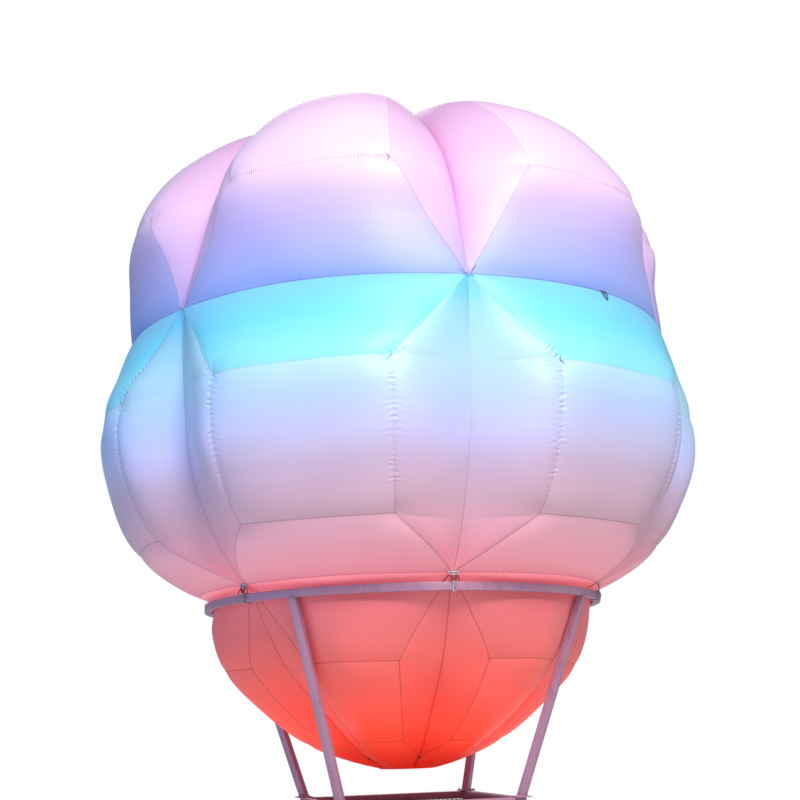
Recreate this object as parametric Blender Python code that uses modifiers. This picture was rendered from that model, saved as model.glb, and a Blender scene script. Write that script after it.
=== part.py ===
"""Balloon-shaped display inflatable on a steel frame with a square woven basket.

Metres, +Z up, origin on the floor under the middle, front towards -Y.
The envelope is a blown fabric shell of six lobes in three tiers. Its waist is tied to a
square-tube hoop, which stands on four leaning legs over the basket's rim. An axial fan
in the bottom of the envelope keeps it inflated.
"""
from collections import namedtuple
from math import atan2, cos, pi, radians, sin

import bmesh
import bpy
from mathutils import Matrix, Vector

# Gap between pieces that touch
TOUCH = 0.0003
# Points nearer than this are one point
MERGE = 0.00001
# Sides of small round pieces
SMALL_STEPS = 24

# Steel frame
TUBE = 0.040
HOOP_OUTER_R = 1.050
HOOP_TOP_Z = 2.106
HOOP_STEPS = 72
# The middle of each of the hoop's flats lies this share of the radius from the axis
HOOP_FLAT = cos(pi / HOOP_STEPS)
RIM_TOP_Z = 1.100
RIM_HALF = 0.460
FOOT_PLATE = 0.084
FOOT_PLATE_T = 0.005
PAD_R = 0.030
PAD_H = 0.030

# Basket
PANEL_T = 0.018
FLOOR_T = 0.012

# Envelope
SHELL_T = 0.010
LOBES = 6
HALF_LOBE = 180.0 / LOBES
SEAM_Z = 3.476
WAIST_Z = 2.150
APEX_Z = 4.800
# The envelope and its ties are turned by this from the frame's front
ENVELOPE_TURN = radians(-1.8)
CAP_R = 0.070
INLET_R = 0.140
# An edge nearer the axis than this is cut upright, for the cap or the fan
ROUND_EDGE_R = 0.200
# An edge's wall is cut at a slant, at most so slanted that it is this share of the cut
LEAST_SHARE = 0.6
# How far the flats of a lobe's round edge lie inside its true circle, as a share
EDGE_FLATS = cos(radians(4.0))

# Ties at the waist
TIE_W = 0.030
TIE_T = 0.0025

# Fan
FAN_WALL = 0.012
FAN_BOTTOM_Z = 1.247
FAN_H = 0.075
FAN_STEPS = 40
RUN_GAP = 0.005
BLADES = 5
BLADE_PITCH = 32.0
BLADE_T = 0.003
BLADE_W = 0.042
HUB_R = 0.032
HUB_H = 0.026
MOTOR_R = 0.030
MOTOR_H = 0.030
SHAFT_R = 0.005
SHAFT_H = 0.024
GUARD_T = 0.004
GUARD_BAR = 0.005
GUARD_SPOKES = 6
GUARD_RINGS = (0.062, 0.094)

# Colours and finishes: base colour, roughness, metallic
FINISHES = {
    "crown_cloth": ((0.78, 0.55, 0.80), 0.45, 0.0),
    "belly_cloth": ((0.50, 0.72, 0.86), 0.45, 0.0),
    "base_cloth": ((0.90, 0.27, 0.22), 0.45, 0.0),
    "frame_paint": ((0.36, 0.29, 0.43), 0.45, 0.2),
    "webbing": ((0.35, 0.06, 0.07), 0.80, 0.0),
    "wicker": ((0.46, 0.27, 0.12), 0.70, 0.0),
    "plywood": ((0.62, 0.45, 0.27), 0.60, 0.0),
    "black_plastic": ((0.03, 0.03, 0.035), 0.45, 0.0),
    "rubber": ((0.03, 0.03, 0.03), 0.85, 0.0),
}

# One row of the envelope's outside: its seam corner's angle from the valley, how sharp the
# valley is (0 is round), and height and radius at valley, seam corner and lobe middle
Row = namedtuple("Row", "name corner_deg crease valley corner middle")

CROWN_ROWS = (
    Row("crown_seam", 15.0, 0.0, (SEAM_Z, 1.444), (SEAM_Z, 1.444), (SEAM_Z, 1.456)),
    Row("crown_front", 14.5, 1.2, (3.760, 1.345), (3.760, 1.423), (3.760, 1.466)),
    Row("shoulder", 13.5, 1.2, (4.055, 1.215), (4.055, 1.451), (4.055, 1.455)),
    Row("upper_shoulder", 13.5, 1.3, (4.270, 1.060), (4.356, 1.244), (4.376, 1.284)),
    Row("upper_crown", 13.5, 1.3, (4.520, 0.740), (4.600, 0.915), (4.619, 0.946)),
    Row("top", 13.5, 1.2, (4.680, 0.420), (4.755, 0.480), (4.768, 0.500)),
    Row("cap_edge", 13.5, 1.0, (APEX_Z, CAP_R), (APEX_Z, CAP_R), (APEX_Z, CAP_R)),
)
BELLY_ROWS = (
    Row("waist", 14.2, 0.0, (WAIST_Z, 1.050), (WAIST_Z, 1.050), (WAIST_Z, 1.075)),
    Row("lower_corners", 14.2, 0.3, (2.378, 1.235), (2.378, 1.377), (2.378, 1.384)),
    Row("belly", 14.2, 0.3, (2.720, 1.385), (2.720, 1.565), (2.720, 1.548)),
    Row("upper_corners", 14.2, 0.3, (3.055, 1.425), (3.055, 1.592), (3.055, 1.593)),
    Row("neck", 14.6, 0.3, (3.270, 1.425), (3.270, 1.523), (3.270, 1.525)),
    Row("crown_seam", 15.0, 0.0, (SEAM_Z, 1.444), (SEAM_Z, 1.444), (SEAM_Z, 1.456)),
)
BASE_ROWS = (
    Row("inlet", 15.2, 0.0, (1.268, INLET_R), (1.258, INLET_R), (1.255, INLET_R)),
    Row("bottom_pinch", 15.2, 0.3, (1.309, 0.267), (1.296, 0.280), (1.290, 0.290)),
    Row("low_corners", 15.2, 0.3, (1.385, 0.385), (1.385, 0.456), (1.385, 0.515)),
    Row("flare", 14.8, 0.3, (1.560, 0.585), (1.560, 0.689), (1.560, 0.750)),
    Row("high_corners", 14.5, 0.3, (1.761, 0.800), (1.761, 0.866), (1.761, 0.945)),
    Row("under_hoop", 14.5, 0.3, (1.960, 0.925), (1.960, 0.950), (1.960, 1.012)),
    Row("in_hoop", 14.2, 0.3, (2.060, 0.975), (2.060, 0.985), (2.060, 0.998)),
    Row("hoop_top", 14.2, 0.3, (2.110, 0.985), (2.110, 0.990), (2.110, 1.002)),
    Row("waist", 14.2, 0.0, (WAIST_Z, 1.050), (WAIST_Z, 1.050), (WAIST_Z, 1.075)),
)

# A tier: its node's name, material, rows from bottom to top, and steps between rows
Tier = namedtuple("Tier", "name finish rows steps")
TIERS = (
    Tier("base_lobe", "base_cloth", BASE_ROWS, 1),
    Tier("belly_lobe", "belly_cloth", BELLY_ROWS, 2),
    Tier("crown_lobe", "crown_cloth", CROWN_ROWS, 2),
)
COLUMNS_PER_PANEL = 2


def clear_scene():
    """Remove the objects that the scene starts with."""
    for obj in list(bpy.data.objects):
        bpy.data.objects.remove(obj, do_unlink=True)


def new_collection(name):
    """Make a collection in the scene."""
    made = bpy.data.collections.new(name)
    bpy.context.scene.collection.children.link(made)
    return made


def make_material(name):
    """Make a Principled material from the finish table."""
    colour, roughness, metallic = FINISHES[name]
    material = bpy.data.materials.new(name)
    material.use_nodes = True
    shader = material.node_tree.nodes["Principled BSDF"]
    shader.inputs["Base Color"].default_value = (*colour, 1.0)
    shader.inputs["Roughness"].default_value = roughness
    shader.inputs["Metallic"].default_value = metallic
    return material


def place(name, mesh, finish, matrix=None):
    """Put a mesh in the object's collection under its node's name."""
    obj = bpy.data.objects.new(name, mesh)
    PARTS.objects.link(obj)
    if not mesh.materials:
        mesh.materials.append(MATERIALS[finish])
    if matrix is not None:
        obj.matrix_world = matrix
    return obj


def mesh_from(bm, name):
    """Turn a bmesh into a mesh with its faces pointing out."""
    bmesh.ops.recalc_face_normals(bm, faces=bm.faces)
    mesh = bpy.data.meshes.new(name)
    bm.to_mesh(mesh)
    bm.free()
    return mesh


def box_mesh(name, low, high, shear=(0.0, 0.0)):
    """Make a box between two corners; shear slides its top in X and Y."""
    bm = bmesh.new()
    bmesh.ops.create_cube(bm, size=1.0)
    low, high = Vector(low), Vector(high)
    for vert in bm.verts:
        share = vert.co.z + 0.5
        vert.co = Vector(low[i] + (vert.co[i] + 0.5) * (high[i] - low[i]) for i in range(3))
        vert.co += Vector((shear[0] * share, shear[1] * share, 0.0))
    return mesh_from(bm, name)


def cylinder_mesh(name, radius, bottom, top):
    """Make a small upright cylinder on the Z axis."""
    bm = bmesh.new()
    middle = Matrix.Translation((0.0, 0.0, (top + bottom) / 2))
    bmesh.ops.create_cone(bm, cap_ends=True, segments=SMALL_STEPS, radius1=radius, radius2=radius,
                          depth=top - bottom, matrix=middle)
    return mesh_from(bm, name)


def outline_mesh(name, loops, half_thickness):
    """Extrude flat closed loops, holes included, to both sides of their plane."""
    curve = bpy.data.curves.new(name, "CURVE")
    curve.dimensions = "2D"
    curve.fill_mode = "BOTH"
    curve.extrude = half_thickness
    for loop in loops:
        spline = curve.splines.new("POLY")
        spline.points.add(len(loop) - 1)
        for point, (x, y) in zip(spline.points, loop):
            point.co = (x, y, 0.0, 1.0)
        spline.use_cyclic_u = True
    guide = bpy.data.objects.new(name + "_outline", curve)
    PARTS.objects.link(guide)
    evaluated = guide.evaluated_get(bpy.context.evaluated_depsgraph_get())
    mesh = bpy.data.meshes.new_from_object(evaluated)
    bpy.data.objects.remove(guide, do_unlink=True)
    bm = bmesh.new()
    bm.from_mesh(mesh)
    bmesh.ops.remove_doubles(bm, verts=bm.verts, dist=MERGE)
    bpy.data.meshes.remove(mesh)
    return mesh_from(bm, name)


def square_loop(half):
    """Corners of a square about the origin."""
    return [(-half, -half), (half, -half), (half, half), (-half, half)]


def screw_mesh(name, profile, steps):
    """Turn a profile of radius and height pairs about Z; one off the axis is closed first."""
    bm = bmesh.new()
    verts = [bm.verts.new((r, 0.0, z)) for r, z in profile]
    loop = verts[1:] if profile[0][0] == 0.0 else verts[1:] + verts[:1]
    for first, second in zip(verts, loop):
        bm.edges.new((first, second))
    mesh = bpy.data.meshes.new(name + "_profile")
    bm.to_mesh(mesh)
    bm.free()
    turned = bpy.data.objects.new(name + "_turned", mesh)
    PARTS.objects.link(turned)
    screw = turned.modifiers.new("Turn", "SCREW")
    screw.steps = steps
    screw.render_steps = steps
    screw.use_merge_vertices = True
    screw.merge_threshold = MERGE
    evaluated = turned.evaluated_get(bpy.context.evaluated_depsgraph_get())
    result = bpy.data.meshes.new_from_object(evaluated)
    bpy.data.objects.remove(turned, do_unlink=True)
    made = bmesh.new()
    made.from_mesh(result)
    bpy.data.meshes.remove(result)
    return mesh_from(made, name)


def hermite(start, end, start_slope, end_slope, share):
    """Cubic from start to end with the given slopes, at a share of the way."""
    s2, s3 = share * share, share ** 3
    return ((2 * s3 - 3 * s2 + 1) * start + (s3 - 2 * s2 + share) * start_slope
            + (3 * s2 - 2 * s3) * end + (s3 - s2) * end_slope)


def across_lobe(valley, corner, middle, row, angle):
    """Blend a row's value from its valley through its seam corner to the lobe's middle."""
    first = (corner - valley) / row.corner_deg
    second = (middle - corner) / (HALF_LOBE - row.corner_deg)
    at_corner = 0.0 if first * second < 0 else 0.5 * (first + second)
    if angle <= row.corner_deg:
        span = row.corner_deg
        return hermite(valley, corner, row.crease * first * span, at_corner * span, angle / span)
    span = HALF_LOBE - row.corner_deg
    return hermite(corner, middle, at_corner * span, 0.0, (angle - row.corner_deg) / span)


def profile_at(rows, angle, steps):
    """Heights and radii up one tier at an angle from the valley, as a smooth curve."""
    knots = []
    for row in rows:
        pairs = zip(row.valley, row.corner, row.middle)
        knots.append(Vector([across_lobe(*values, row, angle) for values in pairs]))
    spans = [max((b - a).length, MERGE) ** 0.5 for a, b in zip(knots, knots[1:])]
    slopes = [(b - a) / span for a, b, span in zip(knots, knots[1:], spans)]
    tangents = []
    for index in range(len(knots)):
        before, after = max(index - 1, 0), min(index, len(slopes) - 1)
        near, far = spans[before], spans[after]
        tangents.append((slopes[before] * far + slopes[after] * near) / (near + far))
    tangents[0] = 1.5 * slopes[0] - 0.5 * tangents[1]
    tangents[-1] = 1.5 * slopes[-1] - 0.5 * tangents[-2]
    points = []
    for index, span in enumerate(spans):
        for step in range(steps):
            points.append(hermite(knots[index], knots[index + 1], tangents[index] * span,
                                  tangents[index + 1] * span, step / steps))
    points.append(knots[-1])
    return points


def lobe_angles(corner_deg):
    """Angles from the lobe's middle, from one valley to the other."""
    half = [corner_deg * k / COLUMNS_PER_PANEL for k in range(COLUMNS_PER_PANEL)]
    rest = HALF_LOBE - corner_deg
    half += [corner_deg + rest * k / COLUMNS_PER_PANEL for k in range(COLUMNS_PER_PANEL + 1)]
    from_middle = [HALF_LOBE - angle for angle in half]
    return [-angle for angle in from_middle] + from_middle[-2::-1]


def lobe_grid(tier):
    """Outside points of one lobe about +X: rows from bottom to top, columns from valley to valley."""
    columns = []
    for turn in lobe_angles(tier.rows[1].corner_deg):
        profile = profile_at(tier.rows, HALF_LOBE - abs(turn), tier.steps)
        at_valley = abs(abs(turn) - HALF_LOBE) < MERGE
        column = []
        for height, radius in profile:
            angle = radians(turn)
            if at_valley:
                angle -= (1 if turn > 0 else -1) * TOUCH / 2 / radius
            column.append(Vector((radius * cos(angle), radius * sin(angle), height)))
        column[0].z += TOUCH / 2
        column[-1].z -= TOUCH / 2
        columns.append(column)
    return [list(row) for row in zip(*columns)]


def wall_offset(grid, i, j):
    """Step from an outside point to the inside one; an edge stays in its seam's plane."""
    last_row, last_column = len(grid) - 1, len(grid[0]) - 1
    up = grid[min(i + 1, last_row)][j] - grid[max(i - 1, 0)][j]
    round_lobe = grid[i][min(j + 1, last_column)] - grid[i][max(j - 1, 0)]
    normal = round_lobe.cross(up).normalized()
    planes = []
    if i in (0, last_row):
        outward = Vector((grid[i][j].x, grid[i][j].y, 0.0))
        planes.append(outward.normalized() if outward.length < ROUND_EDGE_R else Vector((0.0, 0.0, 1.0)))
    if j in (0, last_column):
        side = radians(HALF_LOBE) * (1 if j else -1)
        planes.append(Vector((-sin(side), cos(side), 0.0)))
    kept = normal.copy()
    for plane in planes:
        kept -= plane * kept.dot(plane)
    return -kept.normalized() * SHELL_T / max(kept.length, LEAST_SHARE)


def lobe_mesh(tier):
    """One lobe of a tier as a closed wall, 10 mm thick."""
    grid = lobe_grid(tier)
    rows, columns = len(grid), len(grid[0])
    bm = bmesh.new()
    outer = [[bm.verts.new(point) for point in line] for line in grid]
    inner = [[bm.verts.new(grid[i][j] + wall_offset(grid, i, j)) for j in range(columns)]
             for i in range(rows)]
    for i in range(rows - 1):
        for j in range(columns - 1):
            for side in (outer, inner):
                bm.faces.new((side[i][j], side[i][j + 1], side[i + 1][j + 1], side[i + 1][j]))
        for j in (0, columns - 1):
            bm.faces.new((outer[i][j], outer[i + 1][j], inner[i + 1][j], inner[i][j]))
    for j in range(columns - 1):
        for i in (0, rows - 1):
            bm.faces.new((outer[i][j], outer[i][j + 1], inner[i][j + 1], inner[i][j]))
    return mesh_from(bm, tier.name)


def build_envelope():
    """Three tiers of six lobes, and the round cap that closes the top."""
    for tier in TIERS:
        mesh = lobe_mesh(tier)
        for lobe in range(LOBES):
            turn = Matrix.Rotation(ENVELOPE_TURN + 2 * pi * lobe / LOBES, 4, "Z")
            place(f"{tier.name}_{lobe + 1}", mesh, tier.finish, turn)
    cap = cylinder_mesh("crown_cap", CAP_R * EDGE_FLATS - TOUCH, APEX_Z - SHELL_T, APEX_Z)
    place("crown_cap", cap, "crown_cloth")


def build_hoop():
    """The rolled square-tube hoop round the envelope's waist, with a flat behind each tie."""
    inner, low = HOOP_OUTER_R - TUBE, HOOP_TOP_Z - TUBE
    profile = [(HOOP_OUTER_R, HOOP_TOP_Z), (HOOP_OUTER_R, low), (inner, low), (inner, HOOP_TOP_Z)]
    turn = Matrix.Rotation(ENVELOPE_TURN + pi / HOOP_STEPS, 4, "Z")
    place("hoop", screw_mesh("hoop", profile, HOOP_STEPS), "frame_paint", turn)


def corner_turns():
    """The four corners: name, and turn from the back right corner."""
    names = ("back_right", "back_left", "front_left", "front_right")
    return [(name, radians(45.0 + 90.0 * k)) for k, name in enumerate(names)]


def build_legs():
    """Four leaning legs from the rim's corners to the hoop, each on its foot plate."""
    foot_r = RIM_HALF * 2 ** 0.5
    top_r = HOOP_OUTER_R - TUBE / 2
    plate_top = RIM_TOP_Z + TOUCH + FOOT_PLATE_T
    low, high = plate_top + TOUCH, HOOP_TOP_Z - TUBE - TOUCH
    lean = atan2(top_r - foot_r, high - low)
    deep, wide = TUBE / cos(lean) / 2, TUBE / 2
    lean_out = (top_r - foot_r, 0.0)
    leg = box_mesh("leg", (foot_r - deep, -wide, low), (foot_r + deep, wide, high), lean_out)
    half = FOOT_PLATE / 2
    plate = box_mesh("leg_plate", (-half, -half, RIM_TOP_Z + TOUCH), (half, half, plate_top))
    for name, turn in corner_turns():
        corner = Matrix.Translation((foot_r * cos(turn), foot_r * sin(turn), 0.0))
        place(f"leg_{name}", leg, "frame_paint", Matrix.Rotation(turn, 4, "Z"))
        place(f"leg_plate_{name}", plate, "frame_paint", corner)


def build_ties():
    """Webbing ties at the six waist valleys, each a band round the hoop with a tab up to the seam."""
    near, far = (HOOP_OUTER_R - TUBE) * HOOP_FLAT - TOUCH, HOOP_OUTER_R * HOOP_FLAT + TOUCH
    under, over = HOOP_TOP_Z - TUBE - TOUCH, HOOP_TOP_Z + TOUCH
    hole = [(near, under), (far, under), (far, over), (near, over)]
    wall, tab_top = TIE_T, WAIST_Z - 3 * TOUCH
    outside = [(near - wall, under - wall), (far + wall, under - wall), (far + wall, tab_top),
               (far, tab_top), (far, over + wall), (near - wall, over + wall)]
    mesh = outline_mesh("waist_tie", [outside, hole], TIE_W / 2)
    upright = Matrix.Rotation(pi / 2, 4, "X")
    for lobe in range(LOBES):
        turn = Matrix.Rotation(ENVELOPE_TURN + radians(HALF_LOBE * (2 * lobe + 1)), 4, "Z")
        place(f"waist_tie_{lobe + 1}", mesh, "webbing", turn @ upright)


def build_basket():
    """Rim, bottom frame, beam, corner posts and feet, all of square tube but the feet."""
    half, tube = RIM_HALF, TUBE / 2
    frame_low, frame_top = PAD_H + TOUCH, PAD_H + TOUCH + TUBE
    ring = [square_loop(half + tube), square_loop(half - tube)]
    for name, middle in (("rim_frame", RIM_TOP_Z - tube), ("bottom_frame", frame_low + tube)):
        place(name, outline_mesh(name, ring, tube), "frame_paint", Matrix.Translation((0.0, 0.0, middle)))
    reach = half - tube - TOUCH
    beam = box_mesh("floor_beam", (-tube, -reach, frame_low), (tube, reach, frame_top))
    place("floor_beam", beam, "frame_paint")
    low, high = frame_top + TOUCH, RIM_TOP_Z - TUBE - TOUCH
    post = box_mesh("post", (-tube, -tube, low), (tube, tube, high))
    pad = cylinder_mesh("foot_pad", PAD_R, 0.0, PAD_H)
    for name, turn in corner_turns():
        out = half * 2 ** 0.5
        corner = Matrix.Translation((out * cos(turn), out * sin(turn), 0.0))
        place(f"post_{name}", post, "frame_paint", corner)
        place(f"foot_pad_{name}", pad, "rubber", corner)
    build_sides_and_floor(low, high)


def build_sides_and_floor(low, high):
    """Woven sides between the posts, and the floor board with its corners cut for them."""
    notch = RIM_HALF - TUBE / 2 - TOUCH
    near, far = RIM_HALF - PANEL_T / 2, RIM_HALF + PANEL_T / 2
    side = box_mesh("woven_side", (near, -notch, low), (far, notch, high))
    for name, turn in (("right", 0.0), ("back", 90.0), ("left", 180.0), ("front", 270.0)):
        place(f"woven_side_{name}", side, "wicker", Matrix.Rotation(radians(turn), 4, "Z"))
    edge = near - TOUCH
    board = []
    for x, y in square_loop(1.0):
        corner = [(x * notch, y * edge), (x * notch, y * notch), (x * edge, y * notch)]
        board += corner if x * y < 0 else corner[::-1]
    floor = outline_mesh("floor_board", [board], FLOOR_T / 2)
    place("floor_board", floor, "plywood", Matrix.Translation((0.0, 0.0, low + FLOOR_T / 2)))


def circle_loop(radius, steps):
    """Points round a circle about the origin."""
    return [(radius * cos(2 * pi * k / steps), radius * sin(2 * pi * k / steps)) for k in range(steps)]


def guard_windows(rim_r):
    """Openings of the fan guard between its rings and spokes."""
    edges = (MOTOR_R, *GUARD_RINGS, rim_r)
    loops = []
    for inner, outer in zip(edges, edges[1:]):
        for spoke in range(GUARD_SPOKES):
            middle = 2 * pi * spoke / GUARD_SPOKES
            loop = []
            for radius, way in ((inner + GUARD_BAR / 2, 1), (outer - GUARD_BAR / 2, -1)):
                half = pi / GUARD_SPOKES - GUARD_BAR / 2 / radius
                turns = [middle + way * half * share for share in (-1.0, -0.5, 0.0, 0.5, 1.0)]
                loop += [(radius * cos(turn), radius * sin(turn)) for turn in turns]
            loops.append(loop)
    return loops


def build_fan():
    """Inlet fan: ring, guard, motor on the guard, and rotor on the motor's shaft."""
    outer, inner = INLET_R * EDGE_FLATS - TOUCH, INLET_R - FAN_WALL
    low, top = FAN_BOTTOM_Z + GUARD_T + TOUCH, FAN_BOTTOM_Z + FAN_H
    profile = [(outer, top), (outer, low), (inner, low), (inner, top)]
    place("fan_ring", screw_mesh("fan_ring", profile, FAN_STEPS), "black_plastic")
    guard = outline_mesh("fan_guard", [circle_loop(outer, FAN_STEPS)] + guard_windows(inner), GUARD_T / 2)
    place("fan_guard", guard, "black_plastic", Matrix.Translation((0.0, 0.0, FAN_BOTTOM_Z + GUARD_T / 2)))
    motor_top = low + MOTOR_H
    shaft_top = motor_top + SHAFT_H
    profile = [(0.0, shaft_top), (SHAFT_R, shaft_top), (SHAFT_R, motor_top),
               (MOTOR_R, motor_top), (MOTOR_R, low), (0.0, low)]
    place("fan_motor", screw_mesh("fan_motor", profile, SMALL_STEPS), "black_plastic")
    build_rotor(motor_top + RUN_GAP, inner - RUN_GAP, shaft_top + TOUCH)


def add_cut(body, name, mesh, operation, matrix):
    """Join a shape to a body, or cut it out, with a Boolean modifier."""
    cutter = bpy.data.objects.new(name, mesh)
    CUTTERS.objects.link(cutter)
    cutter.hide_render = True
    cutter.display_type = "WIRE"
    cutter.matrix_world = matrix
    cut = body.modifiers.new(name, "BOOLEAN")
    cut.operation = operation
    cut.object = cutter


def build_rotor(low, tip_r, shaft_top):
    """Hub with a shaft hole and five pitched blades, joined into one piece."""
    hub = cylinder_mesh("fan_rotor", HUB_R, low, low + HUB_H)
    rotor = place("fan_rotor", hub, "black_plastic")
    half_wide = BLADE_W / 2
    level = half_wide * cos(radians(BLADE_PITCH))
    reach = (tip_r ** 2 - level ** 2) ** 0.5
    blade = box_mesh("blade", (HUB_R / 2, -half_wide, -BLADE_T / 2), (reach, half_wide, BLADE_T / 2))
    seat = Matrix.Translation((0.0, 0.0, low + HUB_H / 2)) @ Matrix.Rotation(radians(BLADE_PITCH), 4, "X")
    for number in range(BLADES):
        turn = Matrix.Rotation(2 * pi * number / BLADES, 4, "Z")
        add_cut(rotor, f"blade_{number + 1}", blade, "UNION", turn @ seat)
    hole = cylinder_mesh("shaft_hole", SHAFT_R + TOUCH, low - HUB_H, shaft_top)
    add_cut(rotor, "shaft_hole", hole, "DIFFERENCE", Matrix.Identity(4))


clear_scene()
PARTS = new_collection("balloon_inflatable")
CUTTERS = new_collection("cutters")
MATERIALS = {name: make_material(name) for name in FINISHES}
build_envelope()
build_hoop()
build_legs()
build_ties()
build_basket()
build_fan()
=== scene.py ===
"""Looks of a balloon-shaped display inflatable.

An envelope of sewn satin panels, held up by air, is tied into a painted tube hoop. The hoop
stands on four legs over a woven basket, and a small fan blows in at the envelope's bottom.
Metres, +Z up, front towards -Y.
"""
import logging
from collections.abc import Callable
from dataclasses import dataclass
from enum import Enum
from math import cos, pi, radians, sin

import bmesh
import bpy
import numpy as np
from mathutils import Matrix, Vector


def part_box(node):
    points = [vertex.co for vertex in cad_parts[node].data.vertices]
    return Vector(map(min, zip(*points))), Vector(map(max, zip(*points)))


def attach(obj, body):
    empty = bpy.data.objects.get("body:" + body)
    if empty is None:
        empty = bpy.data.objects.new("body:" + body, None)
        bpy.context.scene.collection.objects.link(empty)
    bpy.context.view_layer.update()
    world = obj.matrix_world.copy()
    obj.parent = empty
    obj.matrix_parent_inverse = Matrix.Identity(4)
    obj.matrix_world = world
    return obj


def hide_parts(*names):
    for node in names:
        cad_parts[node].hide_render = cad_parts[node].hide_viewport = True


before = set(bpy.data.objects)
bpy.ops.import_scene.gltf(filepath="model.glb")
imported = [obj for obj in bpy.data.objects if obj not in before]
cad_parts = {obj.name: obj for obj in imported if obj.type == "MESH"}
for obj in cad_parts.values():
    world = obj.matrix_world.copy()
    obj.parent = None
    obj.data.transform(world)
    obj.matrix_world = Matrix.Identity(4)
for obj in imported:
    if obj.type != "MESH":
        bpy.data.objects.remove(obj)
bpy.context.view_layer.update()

LOG = logging.getLogger("inflatable")
logging.basicConfig(level=logging.INFO, format="%(message)s")

Colour = tuple[int, int, int]
Point = tuple[float, float, float]
Pair = tuple[float, float]
Material, Mesh, Object = bpy.types.Material, bpy.types.Mesh, bpy.types.Object
Socket, Tree = bpy.types.NodeSocket, bpy.types.NodeTree

LOBES = 6
HALF_LOBE = 180.0 / LOBES
ENVELOPE_TURN = -1.8
WHOLE_TURN = 2 * pi
FRAME_BODY = "balloon"
CORNERS = ("front_left", "front_right", "back_left", "back_right")
ALONG_Y = Vector((0.0, 1.0, 0.0))


def srgb(colour: Colour, share: float = 1.0) -> tuple[float, float, float, float]:
    """Turn a display colour into a linear one.

    Args:
        colour: red, green and blue from 0 to 255.
        share: what the linear colour is multiplied by.

    Returns:
        Linear red, green, blue, and an alpha of 1.
    """
    parts = [part / 255 for part in colour]
    linear = [part / 12.92 if part <= 0.04045 else ((part + 0.055) / 1.055) ** 2.4 for part in parts]
    return (*[part * share for part in linear], 1.0)


class Nodes:
    """Adds and joins the nodes of one node tree."""

    def __init__(self, tree: Tree) -> None:
        """Keep the tree that the nodes go into."""
        self.tree = tree

    def fill(self, socket: Socket, value: object) -> None:
        """Join another node's output to an input, or set the input's own value."""
        if isinstance(value, Socket):
            self.tree.links.new(value, socket)
        else:
            socket.default_value = value

    def add(self, kind: str, inputs: dict | None = None, **settings: object) -> bpy.types.Node:
        """Add a node.

        Args:
            kind: the node's type name.
            inputs: values or other nodes' outputs, by input name or number.
            settings: the node's own properties.

        Returns:
            The new node.
        """
        node = self.tree.nodes.new(kind)
        for key, value in settings.items():
            setattr(node, key, value)
        for key, value in (inputs or {}).items():
            self.fill(node.inputs[key], value)
        return node

    def math(self, operation: str, first: object, second: object = 0.0) -> Socket:
        """Add a math node of two inputs and return its output."""
        return self.add("ShaderNodeMath", {0: first, 1: second}, operation=operation).outputs[0]

    def times(self, first: object, second: object) -> Socket:
        """Return the product of two values."""
        return self.math("MULTIPLY", first, second)

    def plus(self, first: object, second: object) -> Socket:
        """Return the sum of two values."""
        return self.math("ADD", first, second)

    def mix(self, share: object, first: object, second: object, blend: str = "MIX") -> Socket:
        """Mix two colours and return the result."""
        node = self.add("ShaderNodeMix", {0: share, 6: first, 7: second}, data_type="RGBA", blend_type=blend)
        return node.outputs[2]

    def fade(self, value: object, start: float, end: float) -> Socket:
        """Return a mask that is 1 where a value is at start and 0 at end."""
        inputs = {"Value": value, "From Min": start, "From Max": end, "To Min": 1.0, "To Max": 0.0}
        return self.add("ShaderNodeMapRange", inputs, interpolation_type="SMOOTHSTEP").outputs[0]

    def noise(self, where: object, scale: float, detail: float = 2.0) -> Socket:
        """Return smooth noise at a place."""
        return self.add("ShaderNodeTexNoise", {"Vector": where, "Scale": scale, "Detail": detail}).outputs[0]

    def split(self, vector: object) -> bpy.types.bpy_prop_collection:
        """Return a vector's X, Y and Z."""
        return self.add("ShaderNodeSeparateXYZ", {0: vector}).outputs

    def stored(self, name: str, output: str) -> Socket:
        """Return a value that the mesh stores at its points."""
        return self.add("ShaderNodeAttribute", attribute_name=name).outputs[output]

    def place(self, size: Point = (1.0, 1.0, 1.0)) -> Socket:
        """Return the piece's own coordinates, stretched by a size."""
        own = self.add("ShaderNodeTexCoord").outputs["Object"]
        return self.add("ShaderNodeMapping", {"Vector": own, "Scale": size}).outputs[0]


def shader_group(name: str, inputs: dict[str, float], outputs: dict[str, str]) -> tuple:
    """Start a shader node group.

    Args:
        name: the group's name.
        inputs: default values by input name.
        outputs: socket types by output name.

    Returns:
        The group, its Nodes, its input node and its output node.
    """
    group = bpy.data.node_groups.new(name, "ShaderNodeTree")
    for key, value in inputs.items():
        group.interface.new_socket(key, in_out="INPUT", socket_type="NodeSocketFloat").default_value = value
    for key, kind in outputs.items():
        group.interface.new_socket(key, in_out="OUTPUT", socket_type=kind)
    nodes = Nodes(group)
    return group, nodes, nodes.add("NodeGroupInput"), nodes.add("NodeGroupOutput")


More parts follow.
